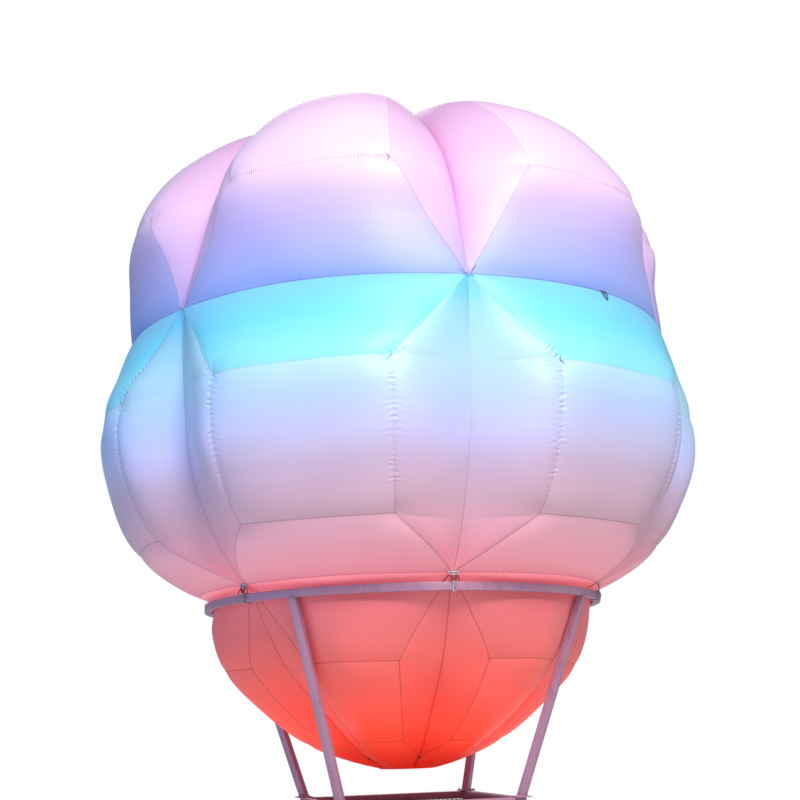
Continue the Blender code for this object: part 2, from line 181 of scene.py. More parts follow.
class Effects:
    """Shader groups that several finishes share, each built once."""

    def __init__(self) -> None:
        """Build the groups."""
        self.weave = self.build_weave()
        self.mottle = self.build_mottle()

    def build_weave(self) -> Tree:
        """Two crossed sets of threads on the piece's UV map, as a height."""
        group, nodes, given, out = shader_group(
            "crossed threads", {"Threads": 1500.0}, {"Height": "NodeSocketFloat"})
        axes = nodes.split(nodes.add("ShaderNodeUVMap", uv_map="UVMap").outputs[0])
        waves = [nodes.math("SINE", nodes.times(axes[k], given.outputs[0])) for k in range(2)]
        nodes.fill(out.inputs[0], nodes.times(waves[0], waves[1]))
        return group

    def build_mottle(self) -> Tree:
        """Soft uneven patches, as a value about 1, and a finer grain about 0.5."""
        group, nodes, given, out = shader_group(
            "soft mottle", {"Scale": 3.0, "Amount": 0.08},
            {"Value": "NodeSocketFloat", "Grain": "NodeSocketFloat"})
        own = nodes.place()
        broad = nodes.add("ShaderNodeTexNoise", {"Vector": own, "Scale": given.outputs[0], "Detail": 3.0})
        swing = nodes.times(nodes.math("SUBTRACT", broad.outputs[0], 0.5), given.outputs[1])
        nodes.fill(out.inputs[0], nodes.plus(swing, 1.0))
        nodes.fill(out.inputs[1], nodes.noise(own, 240.0))
        return group


class Finish:
    """A material in the making: its nodes and its Principled shader."""

    def __init__(self, name: str, roughness: float) -> None:
        """Start a Principled material with an even roughness."""
        self.material = bpy.data.materials.new(name)
        self.material.use_nodes = True
        self.nodes = Nodes(self.material.node_tree)
        self.shader = self.material.node_tree.nodes["Principled BSDF"]
        self.shader.inputs["Roughness"].default_value = roughness

    def set(self, **values: object) -> None:
        """Set or join the shader's inputs, named with underscores for spaces."""
        for key, value in values.items():
            self.nodes.fill(self.shader.inputs[key.replace("_", " ")], value)

    def effect(self, group: Tree, **values: float) -> bpy.types.Node:
        """Place a shared effect.

        Args:
            group: the effect's node group.
            values: its inputs in this finish.

        Returns:
            The effect's node.
        """
        node = self.nodes.add("ShaderNodeGroup", node_tree=group)
        for key, value in values.items():
            node.inputs[key].default_value = value
        return node

    def bump(self, height: object, distance: float, under: object = None) -> Socket:
        """Raise the surface's normal by a height.

        Args:
            height: the height, from 0 to 1.
            distance: what a height of 1 stands for, in metres.
            under: another normal that it lies over.

        Returns:
            The new normal.
        """
        inputs = {"Height": height, "Distance": distance}
        if under is not None:
            inputs["Normal"] = under
        return self.nodes.add("ShaderNodeBump", inputs).outputs[0]


@dataclass(frozen=True)
class SatinCloth:
    """Printed satin cloth whose colour changes with height, with a painted glow that stands for the light that
    passes it.

    LINE and REACH are distances from a seam: where its dark line and its crinkles fade out. WAVES
    and WANDER say how close the crinkles lie along it and how unevenly.
    """

    name: str
    stops: tuple[tuple[float, Colour], ...]
    seam: Colour
    valley_shade_colour: Colour
    painted_glow: float = 0.0

    LINE = (0.0005, 0.0055)
    REACH = (0.004, 0.034)
    WAVES, WANDER = 230.0, 14.0
    CREST_HIGHLIGHT = (0.95, 0.95, 0.98, 1.0)

    def ramp(self, finish: Finish) -> Socket:
        """Return the printed colour at each height."""
        low, high = self.stops[0][0], self.stops[-1][0]
        height = finish.nodes.split(finish.nodes.place())[2]
        inputs = {"Value": height, "From Min": low, "From Max": high}
        share = finish.nodes.add("ShaderNodeMapRange", inputs).outputs[0]
        ramp = finish.nodes.add("ShaderNodeValToRGB", {0: share})
        marks = ramp.color_ramp.elements
        marks.remove(marks[1])
        for number, (level, colour) in enumerate(self.stops):
            mark = marks[0] if number == 0 else marks.new(1.0)
            mark.position = (level - low) / (high - low)
            mark.color = srgb(colour)
        return ramp.outputs[0]

    def crinkles(self, nodes: Nodes) -> tuple[Socket, Socket, Socket]:
        """Draw the crinkles beside the seams.

        Args:
            nodes: the cloth's nodes.

        Returns:
            Waves along the nearest seam, how strong they are, and where they show.
        """
        gap, along, strength = nodes.split(nodes.stored("pucker", "Vector"))
        own = nodes.place()
        wander = nodes.times(nodes.noise(own, 11.0), self.WANDER)
        wave = nodes.math("SINE", nodes.plus(nodes.times(along, self.WAVES), wander))
        reach = nodes.times(nodes.fade(gap, *self.REACH), strength)
        return wave, reach, nodes.fade(nodes.noise(own, 13.0, 1.0), 0.60, 0.42)

    def make(self, effects: Effects) -> Material:
        """Build the cloth: print, sewn seams, painted shade and highlights, sheen, weave and painted glow."""
        finish = Finish(self.name, 0.42)
        nodes = finish.nodes
        mottle = finish.effect(effects.mottle, Scale=1.7, Amount=0.10)
        banding = nodes.noise(nodes.place((0.6, 0.6, 34.0)), 1.0)
        tone = nodes.plus(mottle.outputs["Value"], nodes.times(banding, 0.05))
        colour = nodes.mix(1.0, self.ramp(finish), nodes.math("SUBTRACT", tone, 0.025), "MULTIPLY")
        # Painted shade along the valleys, where the lobes fold in.
        fold = nodes.times(nodes.stored("fold", "Fac"), 0.85)
        colour = nodes.mix(fold, colour, srgb(self.valley_shade_colour))
        gap, dark, _ = nodes.split(nodes.stored("seam", "Vector"))
        line = nodes.times(nodes.fade(gap, *self.LINE), dark)
        wave, reach, patch = self.crinkles(nodes)
        ripple = nodes.times(wave, nodes.times(reach, nodes.plus(patch, 0.25)))
        # Painted shade in the crinkles' troughs (pinch, in the seam colour) and a painted highlight on their
        # crests.
        painted_crinkle_mask = nodes.times(reach, patch)
        pinch = nodes.times(nodes.fade(wave, 0.995, 0.72), painted_crinkle_mask)
        painted_crest_highlight = nodes.times(nodes.fade(wave, -0.995, -0.55), painted_crinkle_mask)
        colour = nodes.mix(nodes.times(painted_crest_highlight, 0.40), colour, self.CREST_HIGHLIGHT)
        seam_line_and_pinch_shade = nodes.math("MAXIMUM", line, nodes.times(pinch, 0.22))
        colour = nodes.mix(seam_line_and_pinch_shade, colour, srgb(self.seam))
        weave = finish.effect(effects.weave)
        under = finish.bump(weave.outputs[0], 0.00012)
        rough = nodes.times(mottle.outputs["Value"], 0.42)
        finish.set(Base_Color=colour, Roughness=rough, Normal=finish.bump(ripple, 0.0024, under),
                   Sheen_Weight=0.05, Sheen_Roughness=0.45, Specular_IOR_Level=0.4)
        if self.painted_glow:
            # Painted glow: emission stands for light from inside that passes the print, so the print's colour
            # counts twice.
            through = nodes.mix(1.0, colour, colour, "MULTIPLY")
            finish.set(Emission_Color=through, Emission_Strength=self.painted_glow)
        return finish.material


@dataclass(frozen=True)
class Paint:
    """Sprayed semi-gloss paint on steel tube, dusty on top and rubbed thin in places."""

    name: str = "mauve_paint"
    colour: Colour = (168, 122, 150)
    rubbed: Colour = (142, 100, 124)
    dust: Colour = (196, 176, 192)

    def make(self, effects: Effects) -> Material:
        """Build the paint."""
        finish = Finish(self.name, 0.40)
        nodes = finish.nodes
        mottle = finish.effect(effects.mottle, Scale=4.0, Amount=0.30)
        colour = nodes.mix(1.0, srgb(self.colour), mottle.outputs["Value"], "MULTIPLY")
        marks = nodes.noise(nodes.place((1.0, 1.0, 0.25)), 26.0, 6.0)
        worn = nodes.times(nodes.fade(marks, 0.34, 0.50), 0.4)
        colour = nodes.mix(worn, colour, srgb(self.rubbed))
        facing = nodes.split(nodes.add("ShaderNodeNewGeometry").outputs["Normal"])
        lying = nodes.times(nodes.fade(facing[2], 0.95, 0.4), 0.45)
        colour = nodes.mix(lying, colour, srgb(self.dust))
        rough = nodes.plus(nodes.times(marks, 0.25), 0.28)
        normal = finish.bump(mottle.outputs["Grain"], 0.0004)
        finish.set(Base_Color=colour, Roughness=rough, Normal=normal, Coat_Weight=0.3, Coat_Roughness=0.2)
        return finish.material


@dataclass(frozen=True)
class Strands:
    """A finish of fine lines along or across the piece: webbing, cord, thread or willow."""

    name: str
    colour: Colour
    dark: Colour
    lines: Point
    depth: float
    roughness: float

    def make(self, effects: Effects) -> Material:
        """Build the finish from stretched noise in two colours."""
        finish = Finish(self.name, self.roughness)
        nodes = finish.nodes
        mottle = finish.effect(effects.mottle, Scale=9.0, Amount=0.5)
        lines = nodes.noise(nodes.place(self.lines), 1.0, 3.0)
        colour = nodes.mix(nodes.fade(lines, 0.38, 0.62), srgb(self.colour), srgb(self.dark))
        colour = nodes.mix(1.0, colour, mottle.outputs["Value"], "MULTIPLY")
        rough = nodes.plus(nodes.times(lines, 0.2), self.roughness - 0.1)
        finish.set(Base_Color=colour, Roughness=rough, Normal=finish.bump(lines, self.depth), Sheen_Weight=0.1)
        return finish.material


@dataclass(frozen=True)
class Moulded:
    """Moulded plastic or rubber with a fine grain."""

    name: str
    colour: Colour
    roughness: float
    grain: float

    def make(self, effects: Effects) -> Material:
        """Build the finish."""
        finish = Finish(self.name, self.roughness)
        nodes = finish.nodes
        mottle = finish.effect(effects.mottle, Scale=14.0, Amount=0.3)
        colour = nodes.mix(1.0, srgb(self.colour), mottle.outputs["Value"], "MULTIPLY")
        rough = nodes.times(mottle.outputs["Value"], self.roughness)
        normal = finish.bump(mottle.outputs["Grain"], self.grain)
        finish.set(Base_Color=colour, Roughness=rough, Normal=normal)
        return finish.material


def finished(name: str, mesh: Mesh, *materials: Material) -> Object:
    """Link a mesh as an object at the origin, with its materials."""
    obj = bpy.data.objects.new(name, mesh)
    bpy.context.scene.collection.objects.link(obj)
    if materials:
        mesh.materials.clear()
    for material in materials:
        mesh.materials.append(material)
    return obj


def hand_over(piece: Object, slot: str, *nodes: str, body: str = FRAME_BODY) -> None:
    """Put a piece on its body.

    Args:
        piece: the finished piece.
        slot: the material slot that its finish comes from; it is not used.
        nodes: the solids that it stands for.
        body: the body that it rides on.
    """
    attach(piece, body)
    if nodes:
        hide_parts(*nodes)
    LOG.info("%s: %d faces on %s", piece.name, len(piece.data.polygons), body)


def plain_mesh(obj: Object, name: str) -> Mesh:
    """Take an object's evaluated shape as a plain mesh and remove the object."""
    evaluated = obj.evaluated_get(bpy.context.evaluated_depsgraph_get())
    mesh = bpy.data.meshes.new_from_object(evaluated)
    mesh.name = name
    bpy.data.objects.remove(obj, do_unlink=True)
    return mesh


def mesh_of(bm: bmesh.types.BMesh, name: str, smooth_deg: float = 40.0) -> Mesh:
    """Turn a bmesh into a smooth mesh.

    Args:
        bm: the bmesh, which is freed.
        name: the mesh's name.
        smooth_deg: the angle past which an edge stays sharp.

    Returns:
        The mesh.
    """
    mesh = bpy.data.meshes.new(name)
    bm.to_mesh(mesh)
    bm.free()
    mesh.shade_smooth()
    mesh.set_sharp_from_angle(angle=radians(smooth_deg))
    return mesh


def softened(node: str, name: str, edge: float, material: Material) -> Object:
    """Copy a solid and round its edges.

    Args:
        node: the solid's name.
        name: the new piece's name.
        edge: how wide the rounding is, in metres.
        material: the piece's finish.

    Returns:
        The piece, at the solid's place.
    """
    bm = bmesh.new()
    bm.from_mesh(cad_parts[node].data)
    bmesh.ops.remove_doubles(bm, verts=bm.verts, dist=0.00001)
    bmesh.ops.dissolve_limit(bm, angle_limit=radians(1.0), verts=bm.verts, edges=bm.edges)
    obj = finished(name, mesh_of(bm, name))
    bevel = obj.modifiers.new("Edges", "BEVEL")
    bevel.width = edge
    bevel.segments = 3
    bevel.limit_method = "ANGLE"
    bevel.angle_limit = radians(35.0)
    mesh = plain_mesh(obj, name)
    mesh.shade_smooth()
    mesh.set_sharp_from_angle(angle=radians(30.0))
    return finished(name, mesh, material)


def dress(node: str, kind: str, edge: float, material: Material, slot: str, body: str = FRAME_BODY) -> None:
    """Put a solid's softened copy in its place."""
    hand_over(softened(node, f"{node}_{kind}", edge, material), slot, node, body=body)


def lathe(name: str, profile: list[Pair], steps: int, middle: Point = (0.0, 0.0, 0.0)) -> Mesh:
    """Turn a closed profile about an upright axis.

    Args:
        name: the mesh's name.
        profile: its radius and height pairs, going round.
        steps: how many steps a whole turn has.
        middle: where the axis stands.

    Returns:
        A closed mesh.
    """
    bm = bmesh.new()
    rings = []
    for k in range(steps):
        turn = WHOLE_TURN * k / steps
        rings.append([bm.verts.new((middle[0] + r * cos(turn), middle[1] + r * sin(turn), middle[2] + z))
                      for r, z in profile])
    for k in range(steps):
        here, after = rings[k], rings[(k + 1) % steps]
        for i in range(len(profile)):
            bm.faces.new((here[i], after[i], after[i - 1], here[i - 1]))
    bmesh.ops.remove_doubles(bm, verts=bm.verts, dist=0.00001)
    bmesh.ops.recalc_face_normals(bm, faces=bm.faces)
    return mesh_of(bm, name)


def tube(path: list[Vector], radius: float, name: str, closed: bool = False, flat: float = 1.0,
         across: Vector | None = None) -> Mesh:
    """Sweep a round or flattened section along points.

    Args:
        path: the points of the middle line.
        radius: half the section's width.
        name: the mesh's name.
        closed: whether the last point joins the first.
        flat: the section's height as a share of its width.
        across: the direction that the width keeps to, for a flat section.

    Returns:
        A closed mesh.
    """
    sides = 10
    bm = bmesh.new()
    rings = []
    count = len(path)
    side = None
    for k, point in enumerate(path):
        after = path[(k + 1) % count] if closed or k + 1 < count else point
        before = path[k - 1] if closed or k else point
        ahead = (after - before).normalized()
        if across is not None:
            side = across
        elif side is None:
            side = ahead.orthogonal()
        side = (side - ahead * side.dot(ahead)).normalized()
        up = ahead.cross(side)
        rings.append([bm.verts.new(point + radius * (side * cos(turn) + up * sin(turn) * flat))
                      for turn in (WHOLE_TURN * s / sides for s in range(sides))])
    for k in range(count if closed else count - 1):
        here, after = rings[k], rings[(k + 1) % count]
        for s in range(sides):
            bm.faces.new((here[s - 1], here[s], after[s], after[s - 1]))
    if not closed:
        bm.faces.new(rings[0])
        bm.faces.new(rings[-1])
    bmesh.ops.recalc_face_normals(bm, faces=bm.faces)
    return mesh_of(bm, name, 60.0)


def curve(steps: int, spot: Callable[[float], Point | Vector]) -> list[Vector]:
    """Points of a curve at even shares of its length, from 0 to 1."""
    return [Vector(spot(k / steps)) for k in range(steps + 1)]


def walked(corners: list[Pair], sides: float) -> Pair:
    """Find a point on a closed loop of straight sides.

    Args:
        corners: the loop's corners.
        sides: how many sides it lies past the first corner.

    Returns:
        The point.
    """
    side, part = divmod(sides, 1)
    start, end = (corners[(int(side) + k) % len(corners)] for k in (0, 1))
    return start[0] + (end[0] - start[0]) * part, start[1] + (end[1] - start[1]) * part


def joined(name: str, meshes: list[Mesh]) -> Mesh:
    """Join meshes into one."""
    bm = bmesh.new()
    for mesh in meshes:
        bm.from_mesh(mesh)
        bpy.data.meshes.remove(mesh)
    return mesh_of(bm, name)


def turned(mesh: Mesh, turn: float) -> Mesh:
    """Copy a mesh and turn it about Z."""
    copy = mesh.copy()
    copy.transform(Matrix.Rotation(turn, 4, "Z"))
    return copy


class GeometryTree:
    """A Geometry Nodes tree with named inputs, run once on an object to make a plain mesh."""

    def __init__(self, name: str) -> None:
        """Start a tree that takes geometry and gives geometry."""
        self.group = bpy.data.node_groups.new(name, "GeometryNodeTree")
        self.group.interface.new_socket("Geometry", in_out="INPUT", socket_type="NodeSocketGeometry")
        self.group.interface.new_socket("Geometry", in_out="OUTPUT", socket_type="NodeSocketGeometry")
        self.nodes = Nodes(self.group)
        self.given = self.nodes.add("NodeGroupInput")
        self.sockets: dict[str, str] = {}

    def ask(self, name: str, kind: str) -> Socket:
        """Add a named input and return it."""
        made = self.group.interface.new_socket(name, in_out="INPUT", socket_type=kind)
        self.sockets[name] = made.identifier
        return self.given.outputs[name]

    def close(self, geometry: Socket) -> None:
        """Make the instances real, give them the material input and end the tree."""
        material = self.ask("Material", "NodeSocketMaterial")
        real = self.nodes.add("GeometryNodeRealizeInstances", {0: geometry}).outputs[0]
        dressed = self.nodes.add("GeometryNodeSetMaterial", {"Geometry": real, "Material": material})
        self.nodes.fill(self.nodes.add("NodeGroupOutput").inputs[0], dressed.outputs[0])

    def run(self, name: str, mesh: Mesh, **values: object) -> Mesh:
        """Run the tree on a mesh.

        Args:
            name: the name of the mesh that is made.
            mesh: what the tree works on.
            values: the inputs by name, with underscores for spaces.

        Returns:
            The plain mesh.
        """
        obj = finished(name, mesh)
        modifier = obj.modifiers.new("Repeat", "NODES")
        modifier.node_group = self.group
        for key, value in values.items():
            modifier[self.sockets[key.replace("_", " ")]] = value
        made = plain_mesh(obj, name)
        made.shade_smooth()
        made.set_sharp_from_angle(angle=radians(50.0))
        return made


def along_path_tree() -> GeometryTree:
    """Build the tree that sets a small shape at even steps along edges, turned to follow them."""
    tree = GeometryTree("shapes along a path")
    pitch, shape = tree.ask("Pitch", "NodeSocketFloat"), tree.ask("Shape", "NodeSocketObject")
    nodes = tree.nodes
    line = nodes.add("GeometryNodeMeshToCurve", {"Mesh": tree.given.outputs[0]}).outputs[0]
    points = nodes.add("GeometryNodeResampleCurve", {"Curve": line, "Length": pitch}, mode="LENGTH").outputs[0]
    tangent = nodes.add("GeometryNodeInputTangent").outputs[0]
    turn = nodes.add("FunctionNodeAlignRotationToVector", {"Vector": tangent}, axis="X").outputs[0]
    source = nodes.add("GeometryNodeObjectInfo", {"Object": shape}).outputs["Geometry"]
    inputs = {"Points": points, "Instance": source, "Rotation": turn}
    tree.close(nodes.add("GeometryNodeInstanceOnPoints", inputs).outputs[0])
    return tree


def edges_mesh(name: str, lines: list[np.ndarray]) -> Mesh:
    """Make a mesh of edges only.

    Args:
        name: the mesh's name.
        lines: lines of points, each joined in order.

    Returns:
        The mesh.
    """
    points, edges = [], []
    for line in lines:
        first = len(points)
        points += [tuple(point) for point in line]
        edges += [(first + k, first + k + 1) for k in range(len(line) - 1)]
    mesh = bpy.data.meshes.new(name)
    mesh.from_pydata(points, edges, [])
    return mesh


def bead_shape(name: str, size: Point) -> Object:
    """Make a small pointed bead, lying along X, for shapes that are repeated along a path.

    Args:
        name: the bead's name.
        size: its length, width and height.

    Returns:
        The bead, which is removed when the path is done.
    """
    bm = bmesh.new()
    bmesh.ops.create_cone(bm, cap_ends=False, segments=4, radius1=0.5, radius2=0.5, depth=0.5,
                          matrix=Matrix.Rotation(pi / 2, 4, "Y"))
    for way in (-1, 1):
        tip = bm.verts.new((0.5 * way, 0.0, 0.0))
        rim = [edge for edge in bm.edges if edge.is_boundary and edge.verts[0].co.x * way > 0]
        for edge in rim:
            bm.faces.new((*edge.verts, tip))
    bmesh.ops.recalc_face_normals(bm, faces=bm.faces)
    bmesh.ops.scale(bm, verts=bm.verts, vec=size)
    return finished(name, mesh_of(bm, name, 80.0))


class Seam(Enum):
    """Where a seam lies on a lobe."""

    VALLEY = "between two lobes"
    SIDE = "from pinch to corner and on"
    LEVEL = "across the panel"
    EDGE = "at a tier's top or bottom"


@dataclass(frozen=True)
class Ring:
    """One level of the envelope, with heights and radii at valley, side seam and lobe middle.

    Its star is how strongly folds radiate from its corners, where seams meet.
    """

    name: str
    seam_deg: float
    sharp: float
    valley: Pair
    seam: Pair
    middle: Pair
    pitch: float
    sewn: bool = False
    star: float = 0.0


@dataclass(frozen=True)
class Folds:
    """How a tier's cloth bulges between seams and puckers along them.

    Attributes:
        bulge: how far a panel stands out.
        reach: how far from a seam the bulge has mostly come up.
        soft_edge: how smoothly the cloth passes a side seam, from 0 to 1.
        pucker: height of the puckers along side seams.
        star: height of the folds that radiate from a corner.
        dimple: depth of a corner.
        dimple_r: radius of that dimple.
        valley_shade_depth: how dark the painted shade in a valley's fold is.
    """

    bulge: float
    reach: float
    soft_edge: float
    pucker: float
    star: float
    dimple: float
    dimple_r: float
    valley_shade_depth: float


@dataclass(frozen=True)
class Tier:
    """A tier of the envelope: its rings from bottom to top, its folds and its seam lines.

    The dark and crinkle tables give heights with a seam line's darkness there, and with how
    strongly the cloth crinkles beside it.
    """

    name: str
    slot: str
    rings: tuple[Ring, ...]
    folds: Folds
    seed: int
    dark: dict[Seam, tuple[Pair, ...]]
    crinkle: dict[Seam, tuple[Pair, ...]]


# The legs' inner faces: a height, the radius there, and how much it grows with height. The base
# gives way within LEG_SIDE of a leg's middle and below LEG_TOP, less and less over the fades.
LEG_AZIMUTHS = (45.0, 135.0, 225.0, 315.0)
LEG_INNER = (1.761, 0.882, 0.395)
LEG_SIDE, SIDE_FADE = 0.075, 0.045
LEG_TOP, TOP_FADE = 2.100, 0.030

CROWN = Tier("crown_lobe", "crown_cloth", (
    Ring("crown_seam", 0.3, 0.0, (3.476, 1.444), (3.476, 1.444), (3.476, 1.456), 0.010, star=0.22),
    Ring("crown_front", 7.0, 1.0, (3.760, 1.345), (3.760, 1.420), (3.760, 1.466), 0.009),
    Ring("shoulder", 13.5, 1.2, (4.055, 1.215), (4.055, 1.451), (4.055, 1.455), 0.010, True, 0.15),
    Ring("upper_shoulder", 13.5, 1.3, (4.270, 1.060), (4.356, 1.244), (4.376, 1.284), 0.012),
    Ring("upper_crown", 13.5, 1.3, (4.520, 0.740), (4.600, 0.915), (4.619, 0.946), 0.014),
    Ring("top", 13.5, 1.2, (4.680, 0.420), (4.755, 0.480), (4.768, 0.500), 0.014),
    Ring("cap_edge", 13.5, 1.0, (4.800, 0.070), (4.800, 0.070), (4.800, 0.070), 0.014),
), Folds(0.008, 0.060, 0.3, 0.0022, 0.0050, 0.014, 0.055, 0.60), 11,
    {Seam.VALLEY: ((3.476, 0.20), (4.2, 0.28)), Seam.SIDE: ((3.476, 0.34), (4.0, 0.22), (4.2, 0.16)),
     Seam.LEVEL: ((3.476, 0.10),), Seam.EDGE: ((3.476, 0.65), (3.6, 0.2))},
    {Seam.VALLEY: ((3.476, 0.0),), Seam.LEVEL: ((3.476, 0.50),), Seam.EDGE: ((3.476, 0.12),),
     Seam.SIDE: ((3.56, 0.3), (3.70, 0.05), (3.95, 0.1), (4.06, 0.4), (4.2, 0.10))})

BELLY = Tier("belly_lobe", "belly_cloth", (
    Ring("waist", 0.4, 0.0, (2.150, 1.050), (2.150, 1.050), (2.150, 1.075), 0.010, star=0.12),
    Ring("lower_corners", 14.2, 0.3, (2.378, 1.235), (2.378, 1.377), (2.378, 1.384), 0.006, True, 0.03),
    Ring("belly", 14.2, 0.3, (2.720, 1.385), (2.720, 1.565), (2.720, 1.548), 0.0055),
    Ring("upper_corners", 14.2, 0.3, (3.055, 1.425), (3.055, 1.592), (3.055, 1.593), 0.0055, True, 0.18),
    Ring("neck", 7.4, 0.3, (3.270, 1.437), (3.270, 1.500), (3.270, 1.525), 0.009),
    Ring("crown_seam", 0.3, 0.0, (3.476, 1.444), (3.476, 1.444), (3.476, 1.456), 0.010, star=0.12),
), Folds(0.014, 0.055, 1.0, 0.0026, 0.0060, 0.010, 0.060, 0.08), 23,
    {Seam.VALLEY: ((2.30, 0.36), (2.75, 0.12), (3.2, 0.06)), Seam.LEVEL: ((2.40, 0.38), (2.9, 0.06)),
     Seam.SIDE: ((2.40, 0.38), (2.58, 0.06), (3.1, 0.04)), Seam.EDGE: ((2.15, 0.42), (2.3, 0.4), (3.3, 0.15))},
    {Seam.VALLEY: ((2.15, 0.05),), Seam.LEVEL: ((2.40, 0.10), (3.0, 0.22)),
     Seam.SIDE: ((2.42, 0.05), (2.52, 0.40), (2.70, 0.65), (3.08, 0.8), (3.22, 0.4), (3.32, 0.10)),
     Seam.EDGE: ((2.15, 0.25), (3.4, 0.12))})

BASE = Tier("base_lobe", "base_cloth", (
    Ring("inlet", 3.0, 0.0, (1.254, 0.142), (1.250, 0.142), (1.248, 0.142), 0.010),
    Ring("bottom_pinch", 1.5, 0.3, (1.309, 0.267), (1.309, 0.268), (1.292, 0.290), 0.010),
    Ring("low_corners", 15.2, 0.3, (1.385, 0.385), (1.385, 0.456), (1.385, 0.515), 0.010, True),
    Ring("flare", 14.8, 0.3, (1.560, 0.585), (1.560, 0.689), (1.560, 0.750), 0.010),
    Ring("high_corners", 14.8, 0.3, (1.761, 0.800), (1.761, 0.866), (1.761, 0.945), 0.010, True),
    Ring("under_hoop", 7.1, 0.3, (1.960, 0.925), (1.960, 0.942), (1.960, 1.008), 0.010),
    Ring("in_hoop", 3.4, 0.3, (2.060, 0.975), (2.060, 0.979), (2.060, 0.998), 0.009),
    Ring("hoop_top", 1.6, 0.3, (2.110, 0.985), (2.110, 0.986), (2.110, 1.002), 0.008),
    Ring("waist", 0.4, 0.0, (2.150, 1.050), (2.150, 1.050), (2.150, 1.075), 0.008),
), Folds(0.008, 0.050, 0.9, 0.0010, 0.0020, 0.003, 0.085, 0.10), 37,
    {Seam.VALLEY: ((1.3, 0.50), (1.9, 0.45)), Seam.SIDE: ((1.3, 0.28), (1.7, 0.36)), Seam.LEVEL: ((1.3, 0.32),),
     Seam.EDGE: ((2.1, 0.5),)},
    {Seam.VALLEY: ((1.3, 0.15),), Seam.SIDE: ((1.3, 0.08),), Seam.LEVEL: ((1.3, 0.10),),
     Seam.EDGE: ((1.3, 0.3),)})


@dataclass
class SeamLine:
    """A seam on a lobe's grid, with each grid point's distance from it and place along it."""

    kind: Seam
    distance: np.ndarray
    along: np.ndarray


def lengths(vectors: np.ndarray) -> np.ndarray:
    """Length of each vector."""
    return np.linalg.norm(vectors, axis=-1)


def unit(vectors: np.ndarray) -> np.ndarray:
    """Scale vectors to length 1."""
    return vectors / np.maximum(lengths(vectors)[..., None], 1e-9)


def running_length(points: np.ndarray) -> np.ndarray:
    """Distance of each point of a line from its first."""
    return np.concatenate([[0.0], np.cumsum(lengths(np.diff(points, axis=0)))])


def picked(values: list[np.ndarray], distances: np.ndarray) -> np.ndarray:
    """At each grid point, the value that goes with the least distance."""
    return np.take_along_axis(np.stack(values), distances.argmin(axis=0)[None], axis=0)[0]


def cubic(start: np.ndarray, end: np.ndarray, first: np.ndarray, last: np.ndarray,
          share: np.ndarray) -> np.ndarray:
    """Follow a cubic curve.

    Args:
        start: its first value.
        end: its last value.
        first: its slope at the start.
        last: its slope at the end.
        share: shares of the way.

    Returns:
        The values at those shares.
    """
    s2, s3 = share * share, share ** 3
    return ((2 * s3 - 3 * s2 + 1) * start + (s3 - 2 * s2 + share) * first
            + (3 * s2 - 2 * s3) * end + (s3 - s2) * last)


def spread(width: float, fine: float, coarse: float, before: int, after: int) -> np.ndarray:
    """Points from 0 to 1 that are closer together at one or both ends.

    Args:
        width: the real width that they cover.
        fine: spacing at the ends.
        coarse: spacing between.
        before: fine steps at the start.
        after: fine steps at the end.

    Returns:
        The points as shares of the width.
    """
    start = fine * np.arange(before + 1)
    end = width - fine * np.arange(after, -1, -1)
    count = int(np.ceil((end[0] - start[-1]) / coarse))
    middle = np.linspace(start[-1], end[0], count + 1)[1:-1]
    return np.concatenate([start, middle, end]) / width


